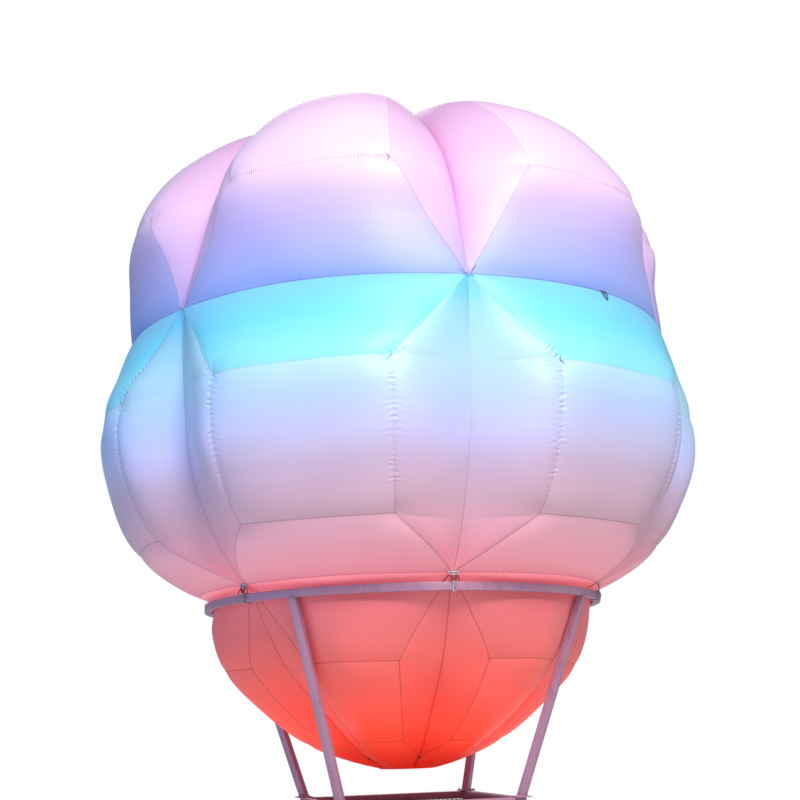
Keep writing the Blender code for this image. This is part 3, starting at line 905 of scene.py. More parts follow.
class Lobe:
    """One lobe of a tier: sewn panels between two valleys, as a fine grid of points."""

    # The grid: spacings beside and between seams, widths that they cover, and fine steps.
    FINE = 0.008
    FLANK_W, FLANK_COARSE = 0.37, 0.024
    PANEL_W, PANEL_COARSE = 0.42, 0.034
    SEAM_STEPS, VALLEY_STEPS = 7, 4
    # The envelope's sideways bow: lowest and highest level, and its width.
    SWAY = (2.15, 4.80, 0.018)
    # Puckers: pitch and clusters along a side seam, and their mean reach, its swing and length.
    SIDE_PITCH, CLUSTERS = 0.026, (0.34, 0.15)
    SIDE_REACH = (0.018, 0.009, 0.11)
    # Folds from a corner, broad waves, and the still strip where neighbours join.
    STAR_R, BROAD, FIXED = 0.030, 0.0012, 0.010
    # The finish's values: fades of the painted shade in the valley's fold, crinkles of level seams,
    # at corners and where two seams lie equally near.
    VALLEY_FADE, END_FADE = 0.045, 0.22
    LEVEL_SHARE, MARK_R, MARK_SHARE, APART = 2.2, 0.06, 2.2, 0.016
    STITCH_RISE = 0.0008

    def __init__(self, tier: Tier, number: int) -> None:
        """Work out the lobe's grid, seams and folds."""
        self.tier, self.number = tier, number
        self.random = np.random.default_rng(tier.seed * LOBES + number)
        self.flank = spread(self.FLANK_W, self.FINE, self.FLANK_COARSE, self.VALLEY_STEPS, self.SEAM_STEPS)
        self.panel = spread(self.PANEL_W, self.FINE, self.PANEL_COARSE, self.SEAM_STEPS, 0)[1:]
        self.side = len(self.flank) - 1
        self.grid, self.ring_rows = self.smooth_grid()
        self.columns = self.grid.shape[1]
        self.normals = self.grid_normals()
        self.seams = self.find_seams()
        self.folded = self.grid + self.normals * self.folds()[..., None]

    def ring_knots(self, ring: Ring) -> np.ndarray:
        """Shape half a lobe at one ring.

        Args:
            ring: the level.

        Returns:
            Its heights and radii from the valley to the lobe's middle.
        """
        valley, seam, middle = (np.array(pair) for pair in (ring.valley, ring.seam, ring.middle))
        soft = self.tier.folds.soft_edge
        inner, outer = (seam - valley) / ring.seam_deg, (middle - seam) / (HALF_LOBE - ring.seam_deg)
        common = np.where(inner * outer < 0, 0.0, (inner + outer) / 2)
        near, far = ring.seam_deg, HALF_LOBE - ring.seam_deg
        at_flank, at_panel = inner + (common - inner) * soft, outer + (common - outer) * soft
        first = cubic(valley, seam, ring.sharp * inner * near, at_flank * near, self.flank[:, None])
        second = cubic(seam, middle, at_panel * far, 0.0 * middle, self.panel[:, None])
        return np.concatenate([first, second])

    def smooth_grid(self) -> tuple[np.ndarray, list[int]]:
        """Pass curves through the rings.

        Returns:
            The lobe's smooth shape as a grid of points about +X, and the row where each ring lies.
        """
        rings = self.tier.rings
        knots = np.stack([self.ring_knots(ring) for ring in rings])
        gaps = np.maximum(lengths(np.diff(knots, axis=0)), 1e-5)
        spans = np.sqrt(gaps)[..., None]
        slopes = np.diff(knots, axis=0) / spans
        inner = (slopes[:-1] * spans[1:] + slopes[1:] * spans[:-1]) / (spans[:-1] + spans[1:])
        first, last = 1.5 * slopes[0] - 0.5 * inner[0], 1.5 * slopes[-1] - 0.5 * inner[-1]
        tangents = np.concatenate([first[None], inner, last[None]])
        rows, ring_rows, seam_deg = [], [0], []
        for k, (below, above) in enumerate(zip(rings, rings[1:])):
            count = max(2, round(gaps[k, -1] / below.pitch))
            for share in np.arange(count + (k == len(rings) - 2)) / count:
                rows.append(cubic(knots[k], knots[k + 1], tangents[k] * spans[k],
                                  tangents[k + 1] * spans[k], share))
                seam_deg.append(below.seam_deg + (above.seam_deg - below.seam_deg) * share)
            ring_rows.append(ring_rows[-1] + count)
        profile, seams = np.stack(rows), np.array(seam_deg)[:, None]
        angles = np.concatenate([seams * self.flank, seams + (HALF_LOBE - seams) * self.panel], axis=1)
        half = np.concatenate([HALF_LOBE - angles[..., None], profile], axis=2)
        other = half[:, -2::-1].copy()
        half[..., 0] *= -1
        whole = np.concatenate([half, other], axis=1)
        turn, height, radius = np.radians(whole[..., 0]), whole[..., 1], whole[..., 2]
        return np.stack([radius * np.cos(turn), radius * np.sin(turn), height], axis=-1), ring_rows

    def grid_normals(self) -> np.ndarray:
        """Outward normals of the smooth grid."""
        up, across = np.gradient(self.grid, axis=0), np.gradient(self.grid, axis=1)
        return unit(np.cross(unit(across), unit(up)))

    def seam_on(self, kind: Seam, line: np.ndarray, axis: int) -> SeamLine:
        """Measure the grid from a seam that follows one of its lines.

        Args:
            kind: what seam it is.
            line: the line's points.
            axis: 1 for a column of the grid, 0 for a row.

        Returns:
            The seam.
        """
        ahead = np.expand_dims(unit(np.gradient(line, axis=0)), axis)
        gap = self.grid - np.expand_dims(line, axis)
        run = (gap * ahead).sum(-1)
        along = np.expand_dims(running_length(line), axis) + run
        return SeamLine(kind, lengths(gap - run[..., None] * ahead), along)

    def find_seams(self) -> list[SeamLine]:
        """All seams of the lobe. A level seam runs over the panel only."""
        last, low, high = self.columns - 1, self.side, self.columns - 1 - self.side
        found = [self.seam_on(kind, self.grid[:, column], 1) for kind, column in
                 ((Seam.VALLEY, 0), (Seam.VALLEY, last), (Seam.SIDE, low), (Seam.SIDE, high))]
        for ring, row in zip(self.tier.rings, self.ring_rows):
            if not ring.sewn:
                continue
            found.append(self.seam_on(Seam.LEVEL, self.grid[row], 0))
            for part, end in ((slice(0, low), low), (slice(high + 1, None), high)):
                found[-1].distance[:, part] = lengths(self.grid[:, part] - self.grid[row, end])
        return found + [self.seam_on(Seam.EDGE, self.grid[row], 0) for row in (0, len(self.grid) - 1)]

    def ripple(self, along: np.ndarray, pitch: float) -> np.ndarray:
        """Make uneven waves along a seam, in clusters.

        Args:
            along: place along the seam at each grid point.
            pitch: the waves' middle length.

        Returns:
            The waves' height, about 1 at most.
        """
        waves = 0.0
        for stretch, weight in ((1.0, 0.55), (0.74, 0.35), (1.36, 0.35)):
            waves = waves + weight * np.sin(WHOLE_TURN * along / (pitch * stretch) + self.random.uniform(0, 6))
        slow = [np.sin(WHOLE_TURN * along / length + self.random.uniform(0, 6)) for length in self.CLUSTERS]
        return waves * np.clip(0.55 + 0.55 * slow[0] + 0.35 * slow[1], 0.05, 1.0)

    def corner_points(self) -> list[tuple[np.ndarray, float, float]]:
        """The points that folds radiate from, each with their strength and its dimple's depth."""
        last, found = self.columns - 1, []
        for ring, row in zip(self.tier.rings, self.ring_rows):
            if ring.star:
                columns, share = ((self.side, last - self.side), 1.0) if ring.sewn else ((0, last), 0.3)
                depth = self.tier.folds.dimple * share
                found += [(self.grid[row, column], ring.star, depth) for column in columns]
        return found

    def folds(self) -> np.ndarray:
        """How far the cloth stands off the smooth shape at each grid point.

        The panels bulge between their seams, pucker along the side seams, fold and dimple where
        seams meet, and wave broadly. They keep still where they join their neighbours.
        """
        folds = self.tier.folds
        gaps = [1.0 - np.exp(-seam.distance / folds.reach) for seam in self.seams]
        height = folds.bulge * np.prod(gaps, axis=0)
        mean, swing, length = self.SIDE_REACH
        for seam in [seam for seam in self.seams if seam.kind is Seam.SIDE]:
            reach = mean + swing * np.sin(WHOLE_TURN * seam.along / length + self.random.uniform(0, 6))
            share = seam.distance / reach
            height += (folds.pucker * share * np.exp(1.0 - share) * self.at_height(self.tier.crinkle, Seam.SIDE)
                       * self.ripple(seam.along + 0.35 * seam.distance, self.SIDE_PITCH))
        for corner, strength, depth in self.corner_points():
            gap = self.grid - corner
            out, turn = lengths(gap), np.arctan2(gap[..., 2], gap[..., 1])
            arms = [np.cos(count * turn + self.random.uniform(0, 6)) for count in (7, 11)]
            share = out / self.STAR_R
            height += strength * folds.star * (arms[0] + 0.6 * arms[1]) * share * np.exp(1.0 - share) * 0.6
            height -= depth * np.exp(-(out / folds.dimple_r) ** 2)
        for _ in range(5):
            way = self.random.normal(size=3)
            wave = self.grid @ (way / np.linalg.norm(way)) * WHOLE_TURN / self.random.uniform(0.28, 0.6)
            height += self.BROAD * np.sin(wave + self.random.uniform(0, 6))
        bounds = [seam.distance for seam in self.seams if seam.kind in (Seam.VALLEY, Seam.EDGE)]
        return height * np.prod([1.0 - np.exp(-(gap / self.FIXED) ** 2) for gap in bounds], axis=0)

    def at_height(self, table: dict[Seam, tuple[Pair, ...]], kind: Seam) -> np.ndarray:
        """A seam kind's value in a table at each grid point's height."""
        heights, values = zip(*table[kind])
        return np.interp(self.grid[..., 2], heights, values)

    def attributes(self) -> dict[str, np.ndarray]:
        """Values that the cloth's finish reads.

        Returns:
            Painted shade in the valley folds; distance and darkness of the nearest seam; and distance,
            place along it and crinkling of the nearest seam that the cloth crinkles on.
        """
        # Painted shade in the valley folds: darkest at the valley seams, fading away from them and towards the
        # tier's ends.
        valley = np.min([seam.distance for seam in self.seams if seam.kind is Seam.VALLEY], axis=0)
        ends = [1.0 - np.exp(-seam.distance / self.END_FADE) for seam in self.seams if seam.kind is Seam.EDGE]
        fold = self.tier.folds.valley_shade_depth * np.exp(-valley / self.VALLEY_FADE) * ends[0] * ends[1]
        distances = np.stack([seam.distance for seam in self.seams])
        dark = picked([self.at_height(self.tier.dark, seam.kind) for seam in self.seams], distances)
        crinkled = [seam for seam in self.seams if seam.kind is not Seam.VALLEY]
        gaps = np.stack([seam.distance for seam in crinkled])
        shares = [self.LEVEL_SHARE if seam.kind is Seam.LEVEL else 1.0 for seam in crinkled]
        along = picked([seam.along * share for seam, share in zip(crinkled, shares)], gaps)
        nearest = np.sort(gaps, axis=0)
        strength = picked([self.at_height(self.tier.crinkle, seam.kind) for seam in crinkled], gaps)
        strength = strength * np.clip((nearest[1] - nearest[0]) / self.APART, 0.0, 1.0)
        for corner, star, _ in self.corner_points():
            near = np.exp(-(lengths(self.grid - corner) / self.MARK_R) ** 2)
            strength = np.maximum(strength, self.MARK_SHARE * star * near)
        return {"fold": fold, "seam": np.stack([distances.min(axis=0), dark, 0 * dark], axis=-1),
                "pucker": np.stack([nearest[0], along, strength], axis=-1)}

    def placed(self, points: np.ndarray) -> np.ndarray:
        """Turn points to the lobe's place, keep them off the legs, and bow them with the envelope.

        Args:
            points: points of the lobe about +X.

        Returns:
            The points in the shared frame.
        """
        turn = np.array(Matrix.Rotation(radians(2 * HALF_LOBE * self.number + ENVELOPE_TURN), 3, "Z"))
        points = points @ turn.T
        height = points[..., 2]
        if self.tier is BASE:
            for azimuth in LEG_AZIMUTHS:
                out = np.array((cos(radians(azimuth)), sin(radians(azimuth)), 0.0))
                reach, aside = points @ out, np.abs(points @ np.array((-out[1], out[0], 0.0)))
                limit = LEG_INNER[1] + (height - LEG_INNER[0]) * LEG_INNER[2]
                over = np.clip(reach - limit, 0.0, None) * np.clip((LEG_SIDE - aside) / SIDE_FADE, 0.0, 1.0)
                over = over * np.clip((LEG_TOP - height) / TOP_FADE, 0.0, 1.0)
                points = points - over[..., None] * out
        share = np.clip((height - self.SWAY[0]) / (self.SWAY[1] - self.SWAY[0]), 0.0, 1.0)
        return points + np.sin(pi * share)[..., None] * np.array((self.SWAY[2], 0.0, 0.0))

    def make(self, panel: Material, flank: Material) -> Object:
        """Args:
            panel: finish of the panels between the side seams.
            flank: finish of the panels beside the valleys.

        Returns:
            The finished piece.
        """
        name = f"{self.tier.name}_{self.number + 1}_cloth"
        rows, columns = self.folded.shape[:2]
        numbers = np.arange(rows * columns).reshape(rows, columns)
        quads = np.stack([numbers[:-1, :-1], numbers[:-1, 1:], numbers[1:, 1:], numbers[1:, :-1]], axis=-1)
        mesh = bpy.data.meshes.new(name)
        points = self.placed(self.folded).reshape(-1, 3)
        mesh.from_pydata(points.tolist(), [], quads.reshape(-1, 4).tolist())
        for key, values in self.attributes().items():
            kind, field = ("FLOAT_VECTOR", "vector") if values.ndim == 3 else ("FLOAT", "value")
            mesh.attributes.new(key, kind, "POINT").data.foreach_set(field, values.astype(np.float32).ravel())
        across = np.array([running_length(row) for row in self.grid])
        up = running_length(self.grid[:, columns // 2])
        flat = np.stack([across - across[:, -1:] / 2, np.broadcast_to(up[:, None], across.shape)], axis=-1)
        corner = np.empty(len(mesh.loops), dtype=np.int32)
        mesh.loops.foreach_get("vertex_index", corner)
        layer = mesh.uv_layers.new(name="UVMap")
        layer.data.foreach_set("uv", flat.reshape(-1, 2)[corner].astype(np.float32).ravel())
        beside = np.arange(columns - 1)
        on_flank = (beside < self.side) | (beside >= columns - 1 - self.side)
        slots = np.broadcast_to(on_flank.astype(np.int32), (rows - 1, columns - 1)).ravel()
        piece = finished(name, mesh, panel, flank)
        mesh.polygons.foreach_set("material_index", slots)
        mesh.shade_smooth()
        hand_over(piece, self.tier.slot, f"{self.tier.name}_{self.number + 1}")
        return piece

    def seam_lines(self) -> list[np.ndarray]:
        """Draw the lobe's stitched lines.

        Returns:
            The lines in place, just over the cloth.
        """
        last = self.columns - 1
        raised = self.folded + self.normals * self.STITCH_RISE
        lines = [raised[:, column] for column in (0, self.side, last - self.side)]
        for ring, row in zip(self.tier.rings, self.ring_rows):
            if ring.sewn:
                lines.append(raised[row, self.side:self.columns - self.side])
        if self.tier is not BASE:
            lines.append(raised[0])
        return [self.placed(line) for line in lines]


@dataclass
class Envelope:
    """The blown envelope: three tiers of six lobes, a cap on top, and their stitching."""

    effects: Effects
    stitch: Point = (0.0065, 0.0013, 0.0013)
    stitch_pitch: float = 0.0125
    cap_overhang: float = 0.012
    cap_rise: float = 0.006
    cap_fall: float = 0.004
    loop_r: float = 0.0045
    loop_bar: Pair = (0.040, 0.0036)
    tab_r: float = 0.0055

    def cloths(self) -> dict[str, tuple[SatinCloth, SatinCloth]]:
        """The printed cloths of each tier: panels, then flanks."""
        # From the hoop up to the waist the stops turn paler: partly the print, partly painted light in the band
        # that the belly above shades.
        in_hoop = ((2.06, (208, 112, 119)), (2.11, (238, 152, 162)), (2.15, (246, 162, 170)))
        # Each rest holds the seam colour, the colour of the painted valley shade and the strength of the
        # painted glow.
        belly_rest = ((160, 84, 106), (150, 140, 190), 0.08)
        base_rest = ((150, 24, 30), (214, 36, 30), 0.44)
        # The crown's panel and flank stops deepen towards the top: partly the print, partly painted shade where
        # the satin at the top is seen edge-on.
        crown = SatinCloth("crown_panel_satin", (
            (3.476, (128, 152, 226)), (3.58, (152, 162, 230)), (3.74, (172, 164, 228)), (3.90, (197, 174, 226)),
            (4.06, (224, 192, 230)), (4.30, (220, 190, 222)), (4.55, (216, 178, 214)), (4.80, (206, 150, 198))),
            (78, 76, 132), (196, 120, 176))
        crown_flank = SatinCloth("crown_flank_satin", (
            (3.476, (164, 162, 226)), (3.70, (196, 170, 222)), (4.05, (220, 184, 222)), (4.45, (212, 168, 210)),
            (4.80, (204, 148, 196))), (140, 104, 156), (196, 120, 176))
        belly = SatinCloth("belly_panel_satin", (
            (2.15, (255, 158, 170)), (2.30, (242, 174, 190)), (2.375, (220, 166, 182)), (2.38, (212, 168, 183)),
            (2.60, (194, 170, 196)), (2.74, (190, 186, 222)), (2.90, (174, 194, 238)), (3.05, (168, 204, 240)),
            (3.06, (138, 214, 238)), (3.30, (108, 202, 230)), (3.476, (120, 188, 228))), *belly_rest)
        belly_flank = SatinCloth("belly_facet_satin", (
            (2.15, (255, 146, 160)), (2.30, (230, 158, 176)), (2.45, (204, 164, 182)), (2.60, (194, 170, 198)),
            (2.74, (188, 184, 226)), (2.90, (174, 192, 232)), (3.10, (166, 202, 228)), (3.30, (140, 194, 220)),
            (3.40, (104, 186, 224)), (3.476, (92, 180, 226))), *belly_rest)
        base = SatinCloth("base_panel_satin", (
            (1.25, (255, 70, 46)), (1.38, (255, 90, 60)), (1.55, (244, 94, 78)), (1.72, (222, 101, 94)),
            (1.90, (206, 106, 107)), *in_hoop), *base_rest)
        base_flank = SatinCloth("base_flank_satin", (
            (1.25, (255, 64, 44)), (1.40, (255, 84, 58)), (1.58, (244, 90, 74)), (1.76, (222, 99, 92)),
            (1.92, (206, 104, 105)), *in_hoop), *base_rest)
        return {"crown_lobe": (crown, crown_flank), "belly_lobe": (belly, belly_flank),
                "base_lobe": (base, base_flank)}

    def threads(self) -> dict[str, Strands]:
        """Sewing thread of each tier."""
        colours = {"crown_lobe": (186, 156, 208), "belly_lobe": (186, 160, 190), "base_lobe": (190, 66, 62)}
        return {name: Strands(name.replace("lobe", "thread"), colour, tuple(part * 3 // 4 for part in colour),
                              (400.0, 400.0, 400.0), 0.0003, 0.6) for name, colour in colours.items()}

    def build(self) -> None:
        """Build the lobes, then the stitching of each tier and the cap."""
        cloths, threads, path_tree = self.cloths(), self.threads(), along_path_tree()
        bead = bead_shape("stitch_shape", self.stitch)
        for tier in (CROWN, BELLY, BASE):
            panel, flank = (cloth.make(self.effects) for cloth in cloths[tier.name])
            lines = []
            for number in range(LOBES):
                lobe = Lobe(tier, number)
                lobe.make(panel, flank)
                lines += lobe.seam_lines()
            name = tier.name.replace("lobe", "stitching")
            mesh = path_tree.run(name, edges_mesh(name, lines), Pitch=self.stitch_pitch, Shape=bead,
                                 Material=threads[tier.name].make(self.effects))
            hand_over(finished(name, mesh), tier.slot)
            if tier is CROWN:
                self.build_cap(flank)
        bpy.data.objects.remove(bead, do_unlink=True)
        self.build_hem(panel)
        self.build_loops()

    def build_cap(self, cloth: Material) -> None:
        """The round patch that closes the crown, with a rolled hem."""
        low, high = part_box("crown_cap")
        radius, top = high.x + self.cap_overhang, high.z
        profile = [(radius * share, top + self.cap_rise - self.cap_fall * share ** 2)
                   for share in (0.0, 0.3, 0.6, 0.85, 0.95)]
        profile += [(radius, top + 0.001), (radius - 0.002, top - 0.002), (high.x, low.z + 0.001), (0.0, low.z)]
        mesh = lathe("crown_cap_patch", profile, 48)
        hand_over(finished("crown_cap_patch", mesh, cloth), "crown_cloth", "crown_cap")

    def build_hem(self, cloth: Material) -> None:
        """The hem that holds the cloth's bottom round the fan's ring."""
        near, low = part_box("fan_ring")[1].x + 0.0005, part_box("fan_guard")[0].z
        section = ((0.0, -0.001), (0.0, 0.012), (0.002, 0.012), (0.004, 0.005), (0.0045, 0.001),
                   (0.003, -0.001))
        mesh = lathe("inlet_hem", [(near + out, low + up) for out, up in section], 96)
        hand_over(finished("inlet_hem", mesh, cloth), "base_cloth")

    def build_loops(self) -> None:
        """A handling loop on the crown seam of two opposite lobes, and a tab on each bottom pinch."""
        seam, pinch = CROWN.rings[0].middle, BASE.rings[1].valley
        lines = ((500.0, 500.0, 900.0), 0.0005, 0.7)
        slate = Strands("slate_webbing", (76, 92, 112), (44, 56, 72), *lines)
        red = Strands("red_webbing", (158, 40, 40), (112, 26, 28), *lines)
        sag = ((0.015, -0.004), (0.015, 0.006), (0.0135, 0.016), (0.0105, 0.027), (0.0065, 0.038),
               (0.0015, 0.048))
        for number in (2, 5):
            meshes = []
            for way in (-1, 1):
                path = [Vector((seam[1] + 0.007 + 0.33 * drop + 0.004 * sin(pi * drop / 0.05), way * aside,
                                seam[0] - drop)) for aside, drop in sag]
                meshes.append(tube(path, self.loop_r, "loop", flat=0.3, across=ALONG_Y))
            wide, bar_r = self.loop_bar
            bar = curve(4, lambda share: (seam[1] + 0.006, wide * (share - 0.5), seam[0] + 0.002))
            meshes.append(tube(bar, bar_r, "loop_bar", flat=0.5, across=Vector((0.0, 0.0, 1.0))))
            mesh = turned(joined("loop", meshes), radians(2 * HALF_LOBE * number + ENVELOPE_TURN))
            mesh.transform(Matrix.Translation((Lobe.SWAY[2], 0.0, 0.0)))
            hand_over(finished(f"handling_loop_{number + 1}", mesh, slate.make(self.effects)), "webbing")
        path = [Vector((pinch[1] + 0.004 - 0.2 * drop, 0.002 * sin(drop * 200), pinch[0] - drop))
                for drop in (-0.008, -0.004, 0.0, 0.004, 0.008, 0.012)]
        tab = tube(path, self.tab_r, "tab", flat=0.3, across=ALONG_Y)
        tabs = [turned(tab, radians(HALF_LOBE * (2 * number + 1) + ENVELOPE_TURN)) for number in range(LOBES)]
        hand_over(finished("bottom_tabs", joined("bottom_tabs", tabs), red.make(self.effects)), "webbing")


@dataclass
class TubeFrame:
    """The painted frame: hoop, legs, plates, rim, posts and bottom frame, with welds and bolts."""

    effects: Effects
    tube: float = 0.040
    corner: float = 0.004
    plate_edge: float = 0.0015
    weld: Point = (0.007, 0.009, 0.007)
    weld_pitch: float = 0.0042
    weld_off: float = 0.001
    bolt_inset: float = 0.011

    def rounded_square(self, radius: float, low: float) -> list[Pair]:
        """Draw the hoop tube's section, a square with round corners.

        Args:
            radius: the hoop's radius to the tube's middle.
            low: the height of the tube's underside.

        Returns:
            The section as radius and height pairs.
        """
        half, round_r = self.tube / 2, self.corner
        loop = []
        for quarter in range(4):
            turn = pi / 2 * quarter
            for step in range(5):
                angle = turn + pi / 8 * step
                x = (half - round_r) * (1 if quarter in (0, 3) else -1) + round_r * cos(angle)
                z = (half - round_r) * (1 if quarter in (0, 1) else -1) + round_r * sin(angle)
                loop.append((radius + x, low + half + z))
        return loop

    def build(self) -> None:
        """Build the frame's pieces and weld them."""
        paint = Paint().make(self.effects)
        low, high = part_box("hoop")
        mesh = lathe("hoop_tube", self.rounded_square(high.x - self.tube / 2, low.z), 216)
        hand_over(finished("hoop_tube", mesh, paint), "frame_paint", "hoop")
        plain = ["rim_frame", "bottom_frame", "floor_beam"]
        plain += [f"{part}_{corner}" for corner in CORNERS for part in ("leg", "post")]
        for node in plain:
            dress(node, "tube", self.corner, paint, "frame_paint")
        for corner in CORNERS:
            dress(f"leg_plate_{corner}", "steel", self.plate_edge, paint, "frame_paint")
        self.build_welds(paint)
        self.build_bolts(paint)

    def ring_round(self, node: str, height: float) -> np.ndarray:
        """Run a closed line round a leg, a little outside its faces.

        Args:
            node: the leg.
            height: the line's height.

        Returns:
            The line's points.
        """
        points = np.array([vert.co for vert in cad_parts[node].data.vertices])
        low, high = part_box(node)
        ends = [np.unique(np.round(points[np.abs(points[:, 2] - level) < 0.001], 5), axis=0)
                for level in (low.z, high.z)]
        foot, top = (end.mean(0) for end in ends)
        middle = foot + (top - foot) * (height - low.z) / (high.z - low.z)
        spokes = ends[0] - foot
        spokes = spokes[np.argsort(np.arctan2(spokes[:, 1], spokes[:, 0]))]
        ring = middle + spokes * (1.0 + self.weld_off / lengths(spokes)[:, None])
        sides = [np.linspace(ring[k - 1], ring[k], 6)[:-1] for k in range(4)]
        return np.concatenate([*sides, sides[0][:1]])

    def build_welds(self, paint: Material) -> None:
        """Weld beads round both ends of each leg."""
        lines = []
        for corner in CORNERS:
            low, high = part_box(f"leg_{corner}")
            lines += [self.ring_round(f"leg_{corner}", level)
                      for level in (low.z + self.weld_off, high.z - self.weld_off)]
        bead = bead_shape("weld_shape", self.weld)
        mesh = along_path_tree().run("leg_welds", edges_mesh("leg_welds", lines), Pitch=self.weld_pitch,
                                     Shape=bead, Material=paint)
        bpy.data.objects.remove(bead, do_unlink=True)
        hand_over(finished("leg_welds", mesh), "frame_paint")

    def build_bolts(self, paint: Material) -> None:
        """Two hexagon bolts with washers on each foot plate."""
        washer = [(0.0, 0.0015), (0.0085, 0.0015), (0.0085, 0.0), (0.0, 0.0)]
        head = [(0.0, 0.0068), (0.0052, 0.0068), (0.0062, 0.0058), (0.0062, 0.0015), (0.0, 0.0015)]
        meshes = []
        for corner in CORNERS:
            low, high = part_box(f"leg_plate_{corner}")
            middle = (low + high) / 2
            reach = (high.x - low.x) / 2 - self.bolt_inset
            for way in ((-1, 1), (1, -1)) if middle.x * middle.y > 0 else ((-1, -1), (1, 1)):
                spot = (middle.x + way[0] * reach, middle.y + way[1] * reach, high.z)
                meshes += [lathe("washer", washer, 20, spot), lathe("head", head, 6, spot)]
        hand_over(finished("plate_bolts", joined("plate_bolts", meshes), paint), "frame_paint")


@dataclass
class Basket:
    """The woven basket: willow sides, plywood floor and rubber feet."""

    effects: Effects
    stake_pitch: float = 0.056
    weaver_pitch: float = 0.0165
    strand: float = 0.0100
    strand_flat: float = 0.31
    stake_r: float = 0.0036
    sway: float = 0.0052
    edge: float = 0.010
    braid_lay: float = 0.052
    braid_step: float = 0.006
    braid_r: float = 0.0042
    braid_strand: float = 0.0046
    board_edge: float = 0.0012

    # A foot below its neck: shares of its radius, with heights over the floor.
    FOOT = ((0.66, 0.016), (0.96, 0.009), (1.0, 0.006), (1.0, 0.002), (0.96, 0.0), (0.7, 0.0),
            (0.66, 0.0015), (0.0, 0.0015))

    def weave_tree(self) -> GeometryTree:
        """Build the tree that weaves flat strands in and out of upright stakes."""
        tree = GeometryTree("woven side")
        ask, nodes = tree.ask, tree.nodes
        calc, times, plus = nodes.math, nodes.times, nodes.plus
        width, height = ask("Width", "NodeSocketFloat"), ask("Height", "NodeSocketFloat")
        stakes, rows = ask("Stakes", "NodeSocketInt"), ask("Rows", "NodeSocketInt")
        strand, flat = ask("Strand", "NodeSocketFloat"), ask("Flat", "NodeSocketFloat")
        stake_r, sway = ask("Stake Radius", "NodeSocketFloat"), ask("Sway", "NodeSocketFloat")

        def point(x: object = 0.0, y: object = 0.0, z: object = 0.0) -> Socket:
            """A vector from three values."""
            return nodes.add("ShaderNodeCombineXYZ", {0: x, 1: y, 2: z}).outputs[0]

        half = times(width, 0.5)
        ends = {"Start": point(times(half, -1.0)), "End": point(half)}
        line = nodes.add("GeometryNodeCurvePrimitiveLine", ends).outputs[0]
        count = plus(times(stakes, 2.0), 1.0)
        line = nodes.add("GeometryNodeResampleCurve", {"Curve": line, "Count": count}, mode="COUNT").outputs[0]
        step = nodes.add("GeometryNodeInputIndex").outputs[0]
        wave = times(calc("SINE", times(step, pi / 2)), sway)
        line = nodes.add("GeometryNodeSetPosition", {"Geometry": line, "Offset": point(0.0, wave)}).outputs[0]
        section = nodes.add("GeometryNodeCurvePrimitiveCircle", {"Resolution": 6, "Radius": strand}).outputs[0]
        shape = {"Geometry": section, "Scale": point(flat, 1.0, 1.0)}
        section = nodes.add("GeometryNodeTransform", shape).outputs[0]
        swept = {"Curve": line, "Profile Curve": section, "Fill Caps": True}
        weaver = nodes.add("GeometryNodeCurveToMesh", swept).outputs[0]
        rise = calc("DIVIDE", height, rows)
        grid = {"Count": rows, "Start Location": point(0.0, 0.0, times(rise, 0.5)),
                "Offset": point(0.0, 0.0, rise)}
        column = nodes.add("GeometryNodeMeshLine", grid).outputs[0]
        flip = times(calc("MODULO", step, 2.0), pi)
        repeat = {"Points": column, "Instance": weaver, "Rotation": point(flip)}
        woven = nodes.add("GeometryNodeInstanceOnPoints", repeat).outputs[0]
        gap = calc("DIVIDE", width, stakes)
        start = plus(times(half, -1.0), times(gap, 0.5))
        grid = {"Count": stakes, "Start Location": point(start, 0.0, times(height, 0.5)),
                "Offset": point(gap)}
        foot = nodes.add("GeometryNodeMeshLine", grid).outputs[0]
        round_rod = {"Vertices": 8, "Radius": stake_r, "Depth": height}
        rod = nodes.add("GeometryNodeMeshCylinder", round_rod).outputs[0]
        upright = nodes.add("GeometryNodeInstanceOnPoints", {"Points": foot, "Instance": rod}).outputs[0]
        both = nodes.add("GeometryNodeJoinGeometry")
        for part in (woven, upright):
            tree.group.links.new(part, both.inputs[0])
        tree.close(both.outputs[0])
        return tree

    def braid(self, width: float, height: float) -> list[Mesh]:
        """Twist two strands about each other along a side's top or bottom.

        Args:
            width: the side's width.
            height: the braid's height over the side's foot.

        Returns:
            The two strands.
        """
        made, count = [], round(width / self.braid_step)
        for start in (0.0, pi):
            path = []
            for k in range(count + 1):
                turn = start + WHOLE_TURN * k * width / count / self.braid_lay
                out, up = self.braid_r * cos(turn), self.braid_r * sin(turn)
                path.append(Vector((width * (k / count - 0.5), out, height + up)))
            made.append(tube(path, self.braid_strand, "braid"))
        return made

    def build_sides(self) -> None:
        """Weave the four sides, from bars and braids along each one's edges."""
        willow = Strands("willow", (184, 130, 74), (124, 78, 42), (7.0, 7.0, 110.0), 0.0006, 0.62)
        material, tree = willow.make(self.effects), self.weave_tree()
        for number, side in enumerate(("front", "right", "back", "left")):
            node = f"woven_side_{side}"
            low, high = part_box(node)
            width, middle = max(high.x - low.x, high.y - low.y), (low + high) / 2
            tall = high.z - low.z - 2 * self.edge
            woven = tree.run(node, bpy.data.meshes.new(node), Material=material, Width=width, Height=tall,
                             Stakes=round(width / self.stake_pitch), Rows=round(tall / self.weaver_pitch),
                             Strand=self.strand, Flat=self.strand_flat, Stake_Radius=self.stake_r,
                             Sway=self.sway)
            woven.transform(Matrix.Translation((0.0, 0.0, self.edge)))
            braids = [*self.braid(width, self.edge), *self.braid(width, self.edge + tall)]
            mesh = joined(f"{node}_willow", [woven, *braids])
            place = Matrix.Translation((middle.x, middle.y, low.z)) @ Matrix.Rotation(pi / 2 * number, 4, "Z")
            mesh.transform(place)
            hand_over(finished(f"{node}_willow", mesh, material), "wicker", node)

